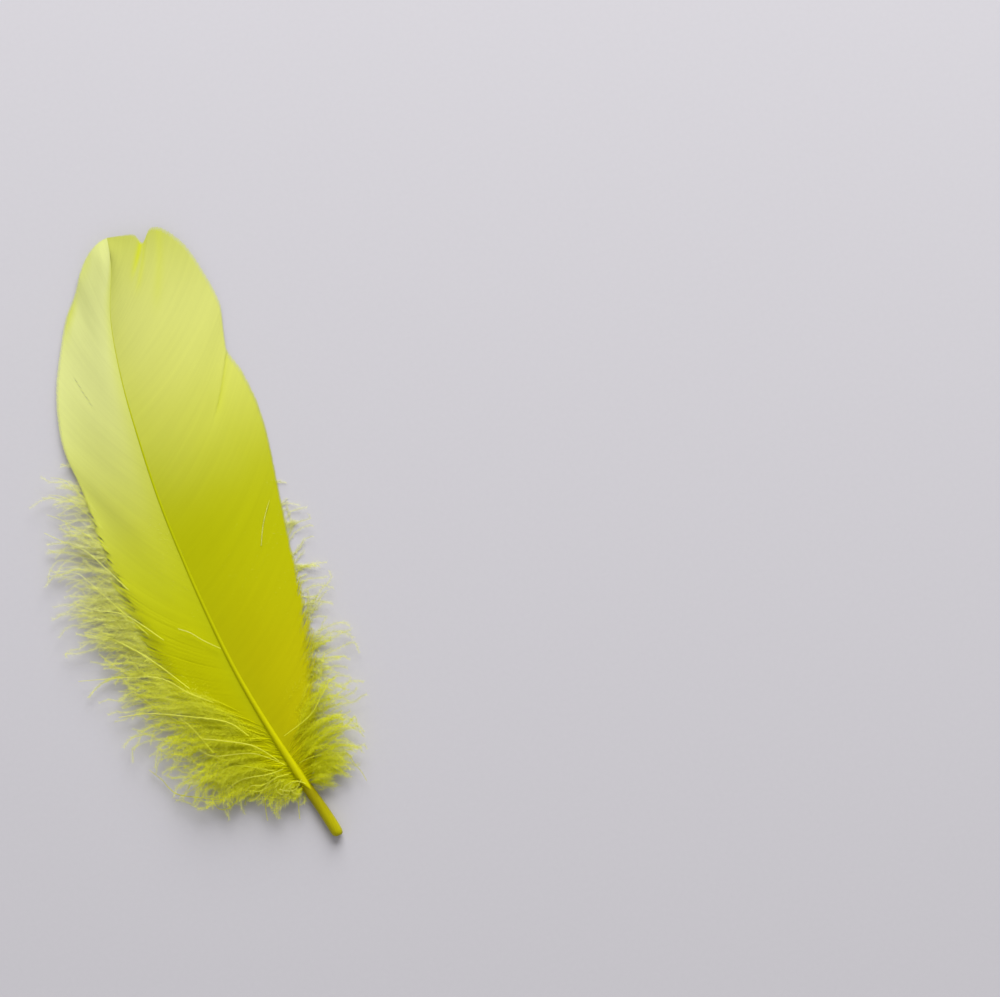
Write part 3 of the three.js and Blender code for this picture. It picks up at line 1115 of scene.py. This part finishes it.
# %% Grow the vanes
LEFT_BARBS = 520
RIGHT_BARBS = 560
TONE_SHIFT = 1.7
barb_values = {"Ridge": 0.16, "Shingle": 0.15, "Lift": 0.000008, "Seed": 7}
vanes = [
    (
        ("left_vane", LEFT_STOPS_WITH_SHEEN, 0.2),
        (LEFT_GUIDES, LEFT_BARBS, left_changes, left_cuts, LEFT_HOOKS),
    ),
    (
        ("right_vane", RIGHT_STOPS, 0.0),
        (RIGHT_GUIDES, RIGHT_BARBS, right_changes, right_cuts, RIGHT_HOOKS),
    ),
]
for seed, ((name, stops, edge_light_paint), layout) in enumerate(vanes, start=3):
    silk = vane_finish(name + " silk", stops, edge_light_paint, seed * TONE_SHIFT)
    lines = line_mesh(name, lay_barbs(*layout, seed))
    hand_over(name, grown_mesh(lines, blades, {**barb_values, "Finish": silk}))

# %% [markdown]
# Down is barbs without hooks: each is a soft thread with hundreds of fine barbules, and it
# bends away from the shaft, waves and curls as it likes. Hair curves would be the usual way,
# but the feather has to be a plain mesh. So the threads are laid out as lines, in clumps as
# on the real base, and a second graph turns each into a thread with barbules on both sides.

# %% Where the locks of down reach
LEFT_LOCKS = [
    [68, -36.0, 110.0, 1.4],
    [61, -39.5, 101.0, 2.2],
    [54, -41.5, 92, 1.4],
    [47, -45.5, 81, 0.9],
    [41, -46.8, 71, 1.8],
    [35, -45.3, 59, 0.9],
    [29, -41.5, 46, 1.8],
    [24, -37.8, 35, 0.9],
    [20, -34.5, 24, 1.4],
    [17, -27.0, 18.0, 0.9],
    [15, -15.5, 13.5, 0.8],
    [14, -8.0, 12.2, 0.7],
]
RIGHT_LOCKS = [
    [56, 15.2, 86, 0.9],
    [54, 19.5, 84, 1.6],
    [46, 20.4, 72, 0.9],
    [38, 20.2, 59, 1.6],
    [31, 19.4, 47, 0.9],
    [25, 18.2, 36, 1.8],
    [21, 16.2, 26, 1.0],
    [18, 13.4, 19.5, 1.6],
    [15.5, 9.6, 14.8, 0.8],
    [14, 4.2, 12.4, 0.7],
]
print("locks:", len(LEFT_LOCKS), "on the left and", len(RIGHT_LOCKS), "on the right")

# %% [markdown]
# A soft barb leaves the shaft in one direction and ends in another, so it is drawn as a
# Hermite curve: two ends and two directions. High on the feather the soft barbs hang below
# the vane and show only near its edge, so a second helper gives that hidden height. On the
# left they come up a little before the edge, which softens it.

# %% Curved barbs, and barbs below the vane
BELOW_VANE = 0.5
FRINGE_RISE, FRINGE_SHARE, FRINGE_WAVE = 1.6, 0.4, 0.3
EDGE_HEIGHT = 0.5
RIGHT_EDGE_GUIDES = 14
LEFT_COMES_UP, RIGHT_COMES_UP = (0.9, 1.12), (1.0, 1.3)


def turned(x, y, angle):
    """A direction turned to the left by an angle."""
    return x * np.cos(angle) - y * np.sin(angle), x * np.sin(angle) + y * np.cos(angle)


def curved(share, start, chord, leaving, arriving):
    """Places from start to start + chord, along a curve with a given direction at each end."""
    s2, s3 = share**2, share**3
    ends = (2 * s3 - 3 * s2 + 1) * start[:, None] + (3 * s2 - 2 * s3) * (start + chord)[:, None]
    return ends + (s3 - 2 * s2 + share) * leaving[:, None] + (s3 - s2) * arriving[:, None]


def below_vane(x, y, tip_z, wave, on_left):
    """Heights just below the vane, which come up again past its edge."""
    edge_rows = np.array(LEFT_GUIDES if on_left else RIGHT_GUIDES[:RIGHT_EDGE_GUIDES])
    shaft_x, shaft_z, _ = shaft_at(y)
    half_width = np.abs(np.interp(y, edge_rows[:, 2], edge_rows[:, 1]) - shaft_x)
    outward_share = np.abs(x - shaft_x) / half_width
    to_edge = np.clip(outward_share, 0, 1) ** VANE_DROP_POWER
    below = shaft_z - (shaft_z - EDGE_HEIGHT) * to_edge - BELOW_VANE
    past_edge = step(*(LEFT_COMES_UP if on_left else RIGHT_COMES_UP), outward_share)
    fringe = tip_z[:, None] + FRINGE_SHARE * FRINGE_RISE + FRINGE_WAVE * wave
    return below + past_edge * fringe


print("hidden barbs lie", BELOW_VANE, "mm below the vane")

# %% [markdown]
# Real down sticks together in clumps, so every six barbs share a turn, a length and a curl,
# and each adds a little of its own. Waves and small kinks grow towards the tip. All of it
# comes from one seeded generator for a piece, so each run gives the same feather.

# %% How down barbs run
DOWN_STATIONS = 20
SOFT_LEFT, SOFT_RIGHT = -46.6, 19.6
DOWN_LOWEST, DOWN_HIGHEST = 0.15, 6.2
HIDDEN_LEFT, HIDDEN_RIGHT = (26, 38), (19, 30)
CLUMP_BARBS = 6
ROOT_SCATTER = (-0.12, 0.12)
CLUMP_TURN, OWN_TURN = 5, 4.5
LEAVING_TURN, LEAVING_SPREAD = -16, 6
CLUMP_CURL, CLUMP_CURL_SPREAD, OWN_CURL_SPREAD = 34, 20, 14
USUAL_LENGTH, LENGTH_SPREAD, LENGTH_LIMITS = 0.92, 0.14, (0.5, 1.1)
CLUMP_LENGTHS = (0.84, 1.0)
WAVE_LENGTHS, WAVE_SIZES = (6, 13), (0.15, 0.75)
KINK_SIZES, KINK_LENGTH = (0.03, 0.12), 0.35
ARCHES, RARE_ARCH = (0.2, 1.0), 1.6
ROOT_LIFTS = (-0.5, 0.35)
THREAD_GIRTH, THREAD_TAPER, GIRTH_SPREAD = 0.052, 0.034, (0.8, 1.3)
PLUMAGE_TAPER, PLUMAGE_SPREAD = 0.68, (0.75, 1.2)


def down_lines(rows, first, last, count, stretch, wild, seed):
    """Lines of soft barbs whose tips lie along the rows from place first to last."""
    rng = np.random.default_rng(seed)
    place = np.linspace(first, last, count) + rng.uniform(*ROOT_SCATTER, count)
    row = rows_at(rows, np.clip(place, 0, len(rows) - 1))
    root_y, tip_x, tip_y, tip_z = (row[:, k] for k in range(4))
    root_x, root_z, radius = shaft_at(root_y)
    outward = np.where(tip_x < root_x, 1.0, -1.0)
    clump = np.arange(count) // CLUMP_BARBS
    clumps = clump.max() + 1
    clump_turn = rng.normal(0, math.radians(CLUMP_TURN * wild), clumps)[clump]
    own_turn = rng.normal(0, math.radians(OWN_TURN * wild), count)
    length = stretch * np.clip(rng.normal(USUAL_LENGTH, LENGTH_SPREAD, count), *LENGTH_LIMITS)
    clump_length = rng.uniform(*CLUMP_LENGTHS, clumps)[clump]
    chord_x, chord_y = turned(tip_x - root_x, tip_y - root_y, clump_turn + own_turn)
    chord_x, chord_y = chord_x * length * clump_length, chord_y * length * clump_length
    leaving = rng.normal(math.radians(LEAVING_TURN), math.radians(LEAVING_SPREAD), count)
    curl_spread = math.radians(CLUMP_CURL_SPREAD * wild)
    clump_curl = rng.normal(math.radians(CLUMP_CURL), curl_spread, clumps)[clump]
    own_curl = rng.normal(0, math.radians(OWN_CURL_SPREAD * wild), count)
    start, end = outward * leaving, outward * (clump_curl + own_curl)
    start_x, start_y = turned(chord_x, chord_y, start)
    end_x, end_y = turned(chord_x, chord_y, end)
    share = np.linspace(0, 1, DOWN_STATIONS)[None, :]
    x = curved(share, root_x, chord_x, start_x, end_x)
    y = curved(share, root_y, chord_y, start_y, end_y)
    reach = np.hypot(chord_x, chord_y)[:, None]
    wave_length = rng.uniform(*WAVE_LENGTHS, (count, 1))
    phase = rng.uniform(0, 2 * math.pi, (count, 1))
    wave = rng.uniform(*WAVE_SIZES, (count, 1)) * wild * share**1.6
    wave = wave * np.sin(2 * math.pi * share * reach / wave_length + phase)
    kink = rng.uniform(*KINK_SIZES, (count, 1)) * wild * share
    kink_turns = 2 * math.pi * share * reach / (KINK_LENGTH * wave_length)
    wave = wave + kink * np.sin(kink_turns - phase)
    x = np.clip(x - wave * chord_y[:, None] / reach, SOFT_LEFT, SOFT_RIGHT)
    y = y + wave * chord_x[:, None] / reach
    arch = rng.uniform(*ARCHES, (count, 1)) + RARE_ARCH * rng.uniform(0, 1, (count, 1)) ** 3
    root_lift = rng.uniform(*ROOT_LIFTS, (count, 1)) * radius[:, None]
    z = root_z[:, None] + root_lift + (tip_z - root_z)[:, None] * share
    z = z + arch * np.sin(math.pi * share) ** 1.3 + 0.4 * wave
    z = z + FRINGE_RISE * (wild - 0.6) * step(0.3, 1.0, share)
    on_left = rows is LEFT_LOCKS
    below = below_vane(x, y, tip_z, wave, on_left)
    hidden = step(*(HIDDEN_LEFT if on_left else HIDDEN_RIGHT), root_y)[:, None]
    z = np.clip(z + (below - z) * hidden, DOWN_LOWEST, DOWN_HIGHEST)
    girth = (THREAD_GIRTH - THREAD_TAPER * share) * rng.uniform(*GIRTH_SPREAD, (count, 1))
    plumage = step(0.2, 0.5, share) * (1 - PLUMAGE_TAPER * share)
    plumage = plumage * rng.uniform(*PLUMAGE_SPREAD, (count, 1))
    centre = np.stack([x, y, z], axis=-1)
    return {"centre": centre, "girth": girth * MM, "plumage": plumage, "share": share}


print("soft barbs stay between x", SOFT_LEFT, "and", SOFT_RIGHT, "mm")

# %% [markdown]
# The second graph has two halves. One sweeps a thin thread along each line. The other sets
# out small cones on both sides of it, the barbules. There are tens of thousands, so threads
# and cones have only three sides.

# %% Threads
def threads_along(tree, curve):
    """A three-sided thread along each line, as thick as its girth attribute says."""
    inputs = {"Curve": curve, "Profile Curve": triangle_outline(tree)}
    inputs |= {"Scale": named(tree, "girth"), "Fill Caps": True}
    return add_node(tree, "GeometryNodeCurveToMesh", None, inputs).outputs[0]


print("a thread has three sides and closed ends")

# %% [markdown]
# A barbule leaves its thread to the left or the right by turns and leans forward by a random
# angle. It also rises or sinks a little, so that a plume is round and not flat. Towards both
# ends of a barb the barbules get shorter, and the foot of a barb is bare.

# %% Barbules
LEAN_LEAST, LEAN_MOST = 0.5, 1.05
TIP_DOWN, TIP_UP = -0.6, 0.9
SHORTEST, LONGEST = 0.6, 1.15
BARE_BELOW = 0.05


def barbule_directions(tree, given, tangent):
    """Forward and to the sides by turns, with a random rise."""
    seed = Wire(tree, given["Seed"])
    index = Wire(tree, add_node(tree, "GeometryNodeInputIndex").outputs[0])
    side = index.math("MODULO", 2.0) * 2.0 - 1.0
    across = vector_math(tree, "CROSS_PRODUCT", (0.0, 0.0, 1.0), tangent)
    lean = chance(tree, LEAN_LEAST, LEAN_MOST, seed)
    tip_up = chance(tree, TIP_DOWN, TIP_UP, seed + 1.0) * Wire(tree, given["Spread"])
    ahead = vector_math(tree, "SCALE", tangent, lean.math("COSINE"))
    aside = vector_math(tree, "SCALE", across, lean.math("SINE") * side)
    sideways = vector_math(tree, "ADD", ahead, aside)
    return vector_math(tree, "ADD", sideways, combined(tree, z=tip_up))


def barbules_along(tree, given, curve):
    """Cones set out along each line, as long as its plumage attribute says."""
    scattered = add_node(
        tree,
        "GeometryNodeCurveToPoints",
        {"mode": "LENGTH"},
        {"Curve": curve, "Length": given["Spacing"]},
    )
    points, tangent = scattered.outputs[0], scattered.outputs[1]
    direction = barbule_directions(tree, given, tangent)
    facing = add_node(
        tree, "FunctionNodeAlignRotationToVector", {"axis": "Z"}, {"Vector": direction}
    )
    cone_inputs = {"Vertices": 3, "Side Segments": 1, "Depth": 1.0}
    cone_inputs["Radius Bottom"] = given["Barbule Width"]
    settings = {"fill_type": "TRIANGLE_FAN"}
    barbule = add_node(tree, "GeometryNodeMeshCone", settings, cone_inputs).outputs[0]
    long = named(tree, "plumage") * Wire(tree, given["Barbule Length"])
    long = long * chance(tree, SHORTEST, LONGEST, Wire(tree, given["Seed"]) + 2.0)
    grown = named(tree, "plumage").math("GREATER_THAN", BARE_BELOW)
    return add_node(
        tree,
        "GeometryNodeInstanceOnPoints",
        None,
        {
            "Points": points,
            "Selection": grown,
            "Instance": barbule,
            "Rotation": facing.outputs[0],
            "Scale": combined(tree, 1.0, 1.0, long),
        },
    ).outputs[0]


print("barbules lean", LEAN_LEAST, "to", LEAN_MOST, "radians away from the thread")

# %% [markdown]
# The graph joins the two halves and makes the cones real. Then it lifts every corner that
# would lie below the table, because a barbule that points down knows nothing of the table.

# %% The graph that makes plumes
PLUME_LOWEST = 0.00003


def plume_graph():
    """Threads along the lines and their barbules, none of them below the table."""
    sockets = [("Spacing", "Float"), ("Barbule Length", "Float"), ("Barbule Width", "Float")]
    sockets += [("Spread", "Float"), ("Seed", "Int"), ("Finish", "Material")]
    tree, given = new_graph("down plumes", sockets)
    curve = add_node(tree, "GeometryNodeMeshToCurve", None, {0: given["Geometry"]}).outputs[0]
    joined = add_node(tree, "GeometryNodeJoinGeometry")
    tree.links.new(threads_along(tree, curve), joined.inputs[0])
    tree.links.new(barbules_along(tree, given, curve), joined.inputs[0])
    real = add_node(tree, "GeometryNodeRealizeInstances", None, {0: joined.outputs[0]})
    position = add_node(tree, "GeometryNodeInputPosition").outputs[0]
    x, y, z = parts_of(tree, position)
    above = combined(tree, x, y, z.math("MAXIMUM", PLUME_LOWEST))
    inputs = {"Geometry": real.outputs[0], "Position": above}
    placed = add_node(tree, "GeometryNodeSetPosition", None, inputs)
    close_graph(tree, placed.outputs[0], given["Finish"])
    return tree


plumes = plume_graph()
print(plumes.name, "has", len(plumes.nodes), "nodes")

# %% [markdown]
# The down takes the dye strongly where it lies thick and looks paler at its loose tips,
# where each thread is seen against the light. Fine fibres let much light through, so more
# than half of the shader is translucent.

# %% The down finish
DOWN_DEEP = (*paint(241, 242, 7), 1)
DOWN_PALE = (*paint(245, 247, 102), 1)
DOWN_PALEST = (*paint(247, 248, 190), 1)
LOOSE_DEEP = (*paint(242, 245, 50), 1)
LOOSE_PALE = (*paint(249, 248, 140), 1)
DOWN_PATCHES_TO_A_METRE = 160.0
HIGH_FROM, HIGH_SLOPE = 0.22, 3.4
TIP_PALING, PATCH_PALING, HIGH_PALING, DEEP_UP_TO = 1.1, 0.5, 0.3, 0.45
DOWN_GLOW = 0.6


def down_finish(name, deep, pale, palest):
    """Soft fibre: deep near the shaft, paler towards loose tips and up the feather."""
    finish = Finish(name)
    tipward = finish.attribute("share")
    patches = finish.noise(finish.place()[3], DOWN_PATCHES_TO_A_METRE)
    high = ((along_feather(finish) - HIGH_FROM) * HIGH_SLOPE).clamped()
    share = tipward * TIP_PALING + patches * PATCH_PALING + high * HIGH_PALING
    share = (share - DEEP_UP_TO).clamped()
    colour = finish.blend(share, deep, finish.blend(high, pale, palest))
    look = {"Base Color": colour, "Roughness": 0.6, "Specular IOR Level": 0.15}
    return lit_through(finish, look, colour, DOWN_GLOW)


down_material = down_finish("down", DOWN_DEEP, DOWN_PALE, DOWN_PALEST)
loose_material = down_finish("loose barbs", LOOSE_DEEP, LOOSE_PALE, DOWN_PALEST)
print("down finishes:", down_material.name, "and", loose_material.name)

# %% [markdown]
# The down grows as eight pieces, by side and by height, because one mesh of it all would be
# too heavy to work on. On each side an under layer of shorter barbs with wider barbules
# fills the gaps, as the fine base of real down does, and the long barbs lie over it. A
# second one on the left thickens the haze that the edge of the vane melts into. Each row
# holds a name, the side's locks, its first and last place among them, how many barbs it
# has, how long they are and how wild.

# %% Grow the down
plume_values = {
    "Spacing": 0.00018,
    "Barbule Length": 0.0026,
    "Barbule Width": 0.000045,
    "Spread": 1.0,
    "Seed": 11,
    "Finish": down_material,
}
UNDER_WIDTH = 0.00007
DOWN_PIECES = [
    ("left_down_high", LEFT_LOCKS, 0.15, 3.4, 125, 0.94, 1.0),
    ("left_down_middle", LEFT_LOCKS, 3.4, 6.6, 115, 0.92, 1.2),
    ("left_down_low", LEFT_LOCKS, 6.6, 11.0, 160, 0.95, 1.9),
    ("left_down_under", LEFT_LOCKS, 0.2, 10.5, 230, 0.74, 1.0),
    ("right_down_high", RIGHT_LOCKS, 0.0, 4.5, 95, 0.92, 1.1),
    ("right_down_low", RIGHT_LOCKS, 4.5, 9.0, 105, 0.92, 1.7),
    ("right_down_under", RIGHT_LOCKS, 0.4, 8.6, 90, 0.75, 1.0),
    ("left_down_edge_under", LEFT_LOCKS, 0.9, 5.4, 80, 0.84, 1.0),
]
for seed, (name, *layout) in enumerate(DOWN_PIECES, start=21):
    lines = line_mesh(name, down_lines(*layout, seed))
    wider = {"Barbule Width": UNDER_WIDTH} if name.endswith("under") else {}
    hand_over(name, grown_mesh(lines, plumes, {**plume_values, **wider}))

# %% [markdown]
# A few barbs have come loose on top, and the eye goes to them first: a curled one beside
# the quill, two that droop, long wisps past the left edge and a pale one that lies on the
# right vane. Chance wouldn't put them where they are, so each is drawn as a row of places
# seen from above, with its height over the vane at both ends. The same graph grows them.

# %% Where the loose barbs lie
LOOSE = [
    (2.6, 2.4, [(-6.9, 19.6), (-10.5, 19.6), (-16.5, 20.6), (-19.8, 20.0), (-21.9, 19.2)]),
    (2.4, 2.2, [(-7.7, 16.8), (-10.2, 17.0), (-13.7, 16.5), (-16.4, 17.5), (-19.4, 19.8)]),
    (2.2, 0.6, [(-5.7, 14.6), (-8.9, 14.7), (-12.7, 14.8), (-14.0, 12.8), (-14.8, 9.2)]),
    (2.4, 1.6, [(-7.6, 13.5), (-9.5, 13.2), (-11.3, 13.8), (-12.7, 14.8)]),
    (1.8, 0.3, [(-4.3, 13.6), (-5.5, 13.0), (-6.5, 10.3), (-7.4, 7.0)]),
    (2.2, 0.8, [(-2.8, 19.7), (1.4, 19.9), (8.2, 18.2), (9.4, 15.2), (10.4, 12.5), (10.8, 10.1)]),
    (2.6, 2.8, [(-6.1, 20.4), (-9.2, 23.3), (-13.3, 26.0), (-21.4, 28.2), (-24.2, 31.0)]),
    (2.8, 2.4, [(-21.2, 28.9), (-23.1, 34.0), (-24.5, 37.3), (-25.8, 39.3), (-25.4, 41.2)]),
    (2.4, 2.2, [(-11.9, 29.9), (-15.7, 34.8), (-23.8, 39.1), (-32.6, 43.0), (-39.7, 44.6)]),
    (2.2, 2.2, [(-17.0, 40.2), (-21.9, 44.5), (-26.8, 49.9), (-34.2, 52.8), (-45.8, 56.0)]),
    (1.0, 0.8, [(-24.7, 36.6), (-29.6, 42.2), (-31.8, 45.3), (-33.4, 47.9), (-34.8, 49.7)]),
    (0.8, 0.8, [(-21.5, 45.4), (-28.1, 55.4), (-34.5, 62.4), (-37.9, 65.1), (-40.6, 66.6)]),
    (0.6, 0.8, [(-23.2, 58.3), (-29.8, 67.0), (-36.6, 70.8), (-40.5, 74.0)]),
    (0.6, 1.0, [(-26.2, 60.6), (-32.8, 72.7), (-35.4, 77.5), (-38.0, 80.8), (-44.5, 82.1)]),
    (0.4, 0.8, [(-27.0, 72.4), (-32.7, 83.4), (-35.8, 86.8), (-38.7, 89.4), (-41.5, 92.2)]),
    (1.4, 1.2, [(-11.0, 51.8), (-14.2, 55.0), (-16.5, 57.8), (-18.9, 59.7)]),
    (0.8, 1.0, [(-19.3, 16.5), (-22.8, 15.2), (-24.8, 15.9), (-25.5, 18.2), (-24.2, 19.0)]),
    (0.8, 0.8, [(-22.8, 17.3), (-32.1, 21.9), (-34.3, 24.5), (-35.2, 26.9), (-37.3, 30.2)]),
    (2.4, 2.0, [(-9.1, 19.9), (-17.7, 24.3), (-23.3, 23.0), (-27.2, 22.7), (-32.7, 21.6)]),
    (2.6, 2.8, [(-7.2, 21.8), (-11.6, 27.2), (-17.9, 30.8), (-22.3, 32.9)]),
    (2.2, 1.8, [(-4.0, 27.0), (3.3, 29.4), (7.7, 33.0), (10.7, 35.7)]),
    (2.6, 2.6, [(-3.0, 14.5), (-5.0, 15.8), (-6.8, 15.0), (-6.4, 13.2), (-4.9, 12.6)]),
    (2.8, 2.2, [(-5.5, 16.0), (-7.8, 15.6), (-9.0, 13.9), (-8.0, 12.4)]),
    (2.8, 2.4, [(-8.2, 17.6), (-10.0, 16.0), (-9.6, 14.2), (-7.8, 13.4)]),
    (2.4, 2.6, [(-3.6, 15.8), (-5.8, 14.0), (-7.9, 14.4), (-9.4, 15.4)]),
    (2.4, 2.0, [(-8.5, 18.4), (-13.0, 17.6), (-15.4, 18.4), (-17.8, 17.4)]),
    (2.6, 2.0, [(-6.0, 18.0), (-9.0, 18.2), (-12.0, 17.2), (-14.8, 15.4), (-17.2, 15.0)]),
]
LOOSE_FINE = [
    (0.2, 0.2, [(11.9, 81.2), (9.6, 78.0), (8.0, 75.2), (6.4, 71.7)]),
    (0.2, 0.5, [(-28.1, 83.5), (-33.4, 90.0), (-36.6, 93.8), (-39.4, 96.1)]),
    (0.2, 0.5, [(-27.8, 88.5), (-31.8, 95.8), (-34.3, 98.8), (-37.3, 100.4)]),
    (0.2, 0.5, [(-27.8, 92.6), (-31.5, 100.9), (-33.3, 103.0), (-35.4, 104.1)]),
]
print("loose barbs:", len(LOOSE), "thick and", len(LOOSE_FINE), "fine")

# %% [markdown]
# The drawn places become lines like those of the down. The height of a loose barb is counted
# from the domed vane below it, so it follows the feather in a side view too and doesn't hang
# in the air.

# %% Lines of the loose barbs
LOOSE_STATIONS = 24
LOOSE_GIRTH = 0.125
FINE_GIRTH = 0.06
LOOSE_GIRTH_SPREAD = (0.75, 1.1)
LOOSE_TAPER, LOOSE_PLUMAGE_TAPER = 0.45, 0.5
PALE_FROM = 0.35
VANE_REACH = 28.0
LOOSE_LOWEST, LOOSE_HIGHEST = 0.2, 6.2


def loose_lines(strands, full_girth, seed):
    """Lines through drawn places, at heights over the domed vane."""
    rng = np.random.default_rng(seed)
    share = np.linspace(0, 1, LOOSE_STATIONS)
    centres = []
    for lift_from, lift_to, places in strands:
        x, y = rows_at(places, share * (len(places) - 1)).T
        shaft_x, shaft_z, _ = shaft_at(y)
        outward = np.clip(np.abs(x - shaft_x) / VANE_REACH, 0, 1)
        vane_z = shaft_z - (shaft_z - EDGE_HEIGHT) * outward**VANE_DROP_POWER
        z = vane_z + lift_from + (lift_to - lift_from) * share
        z = np.clip(z, LOOSE_LOWEST, LOOSE_HIGHEST)
        centres.append(np.stack([x, y, z], axis=-1))
    thickness = rng.uniform(*LOOSE_GIRTH_SPREAD, (len(strands), 1))
    girth = full_girth * thickness * (1 - LOOSE_TAPER * share**2)[None, :]
    plumage = step(0.0, 0.15, share) * (1 - LOOSE_PLUMAGE_TAPER * share)
    plumage = thickness * plumage[None, :]
    colour_share = np.tile(PALE_FROM + (1 - PALE_FROM) * share, (len(strands), 1))
    centre = np.array(centres)
    return {"centre": centre, "girth": girth * MM, "plumage": plumage, "share": colour_share}


print("a loose barb is up to", 2 * LOOSE_GIRTH, "mm thick")

# %% [markdown]
# The plume graph grows these too, with shorter and closer barbules, so each reads as one
# clear strand against the fleece.

# %% Grow the loose barbs
loose_values = {
    **plume_values,
    "Spacing": 0.0001,
    "Barbule Length": 0.0005,
    "Seed": 5,
    "Finish": loose_material,
}
thick, fine = loose_lines(LOOSE, LOOSE_GIRTH, 31), loose_lines(LOOSE_FINE, FINE_GIRTH, 32)
both = {key: np.concatenate([thick[key], fine[key]]) for key in thick}
lines = line_mesh("loose_barbs", both)
hand_over("loose_barbs", grown_mesh(lines, plumes, loose_values))

# %% Measure and finish
bpy.context.view_layer.update()
visible_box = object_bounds()
boxes = [[list(corner) for corner in box] for box in (cad_box, visible_box)]
for label, box in zip(("solid", "visible"), boxes):
    print(label, "box, mm:", [[round(v / MM, 2) for v in corner] for corner in box])
print(len(pieces), "pieces stand for the solid feather")
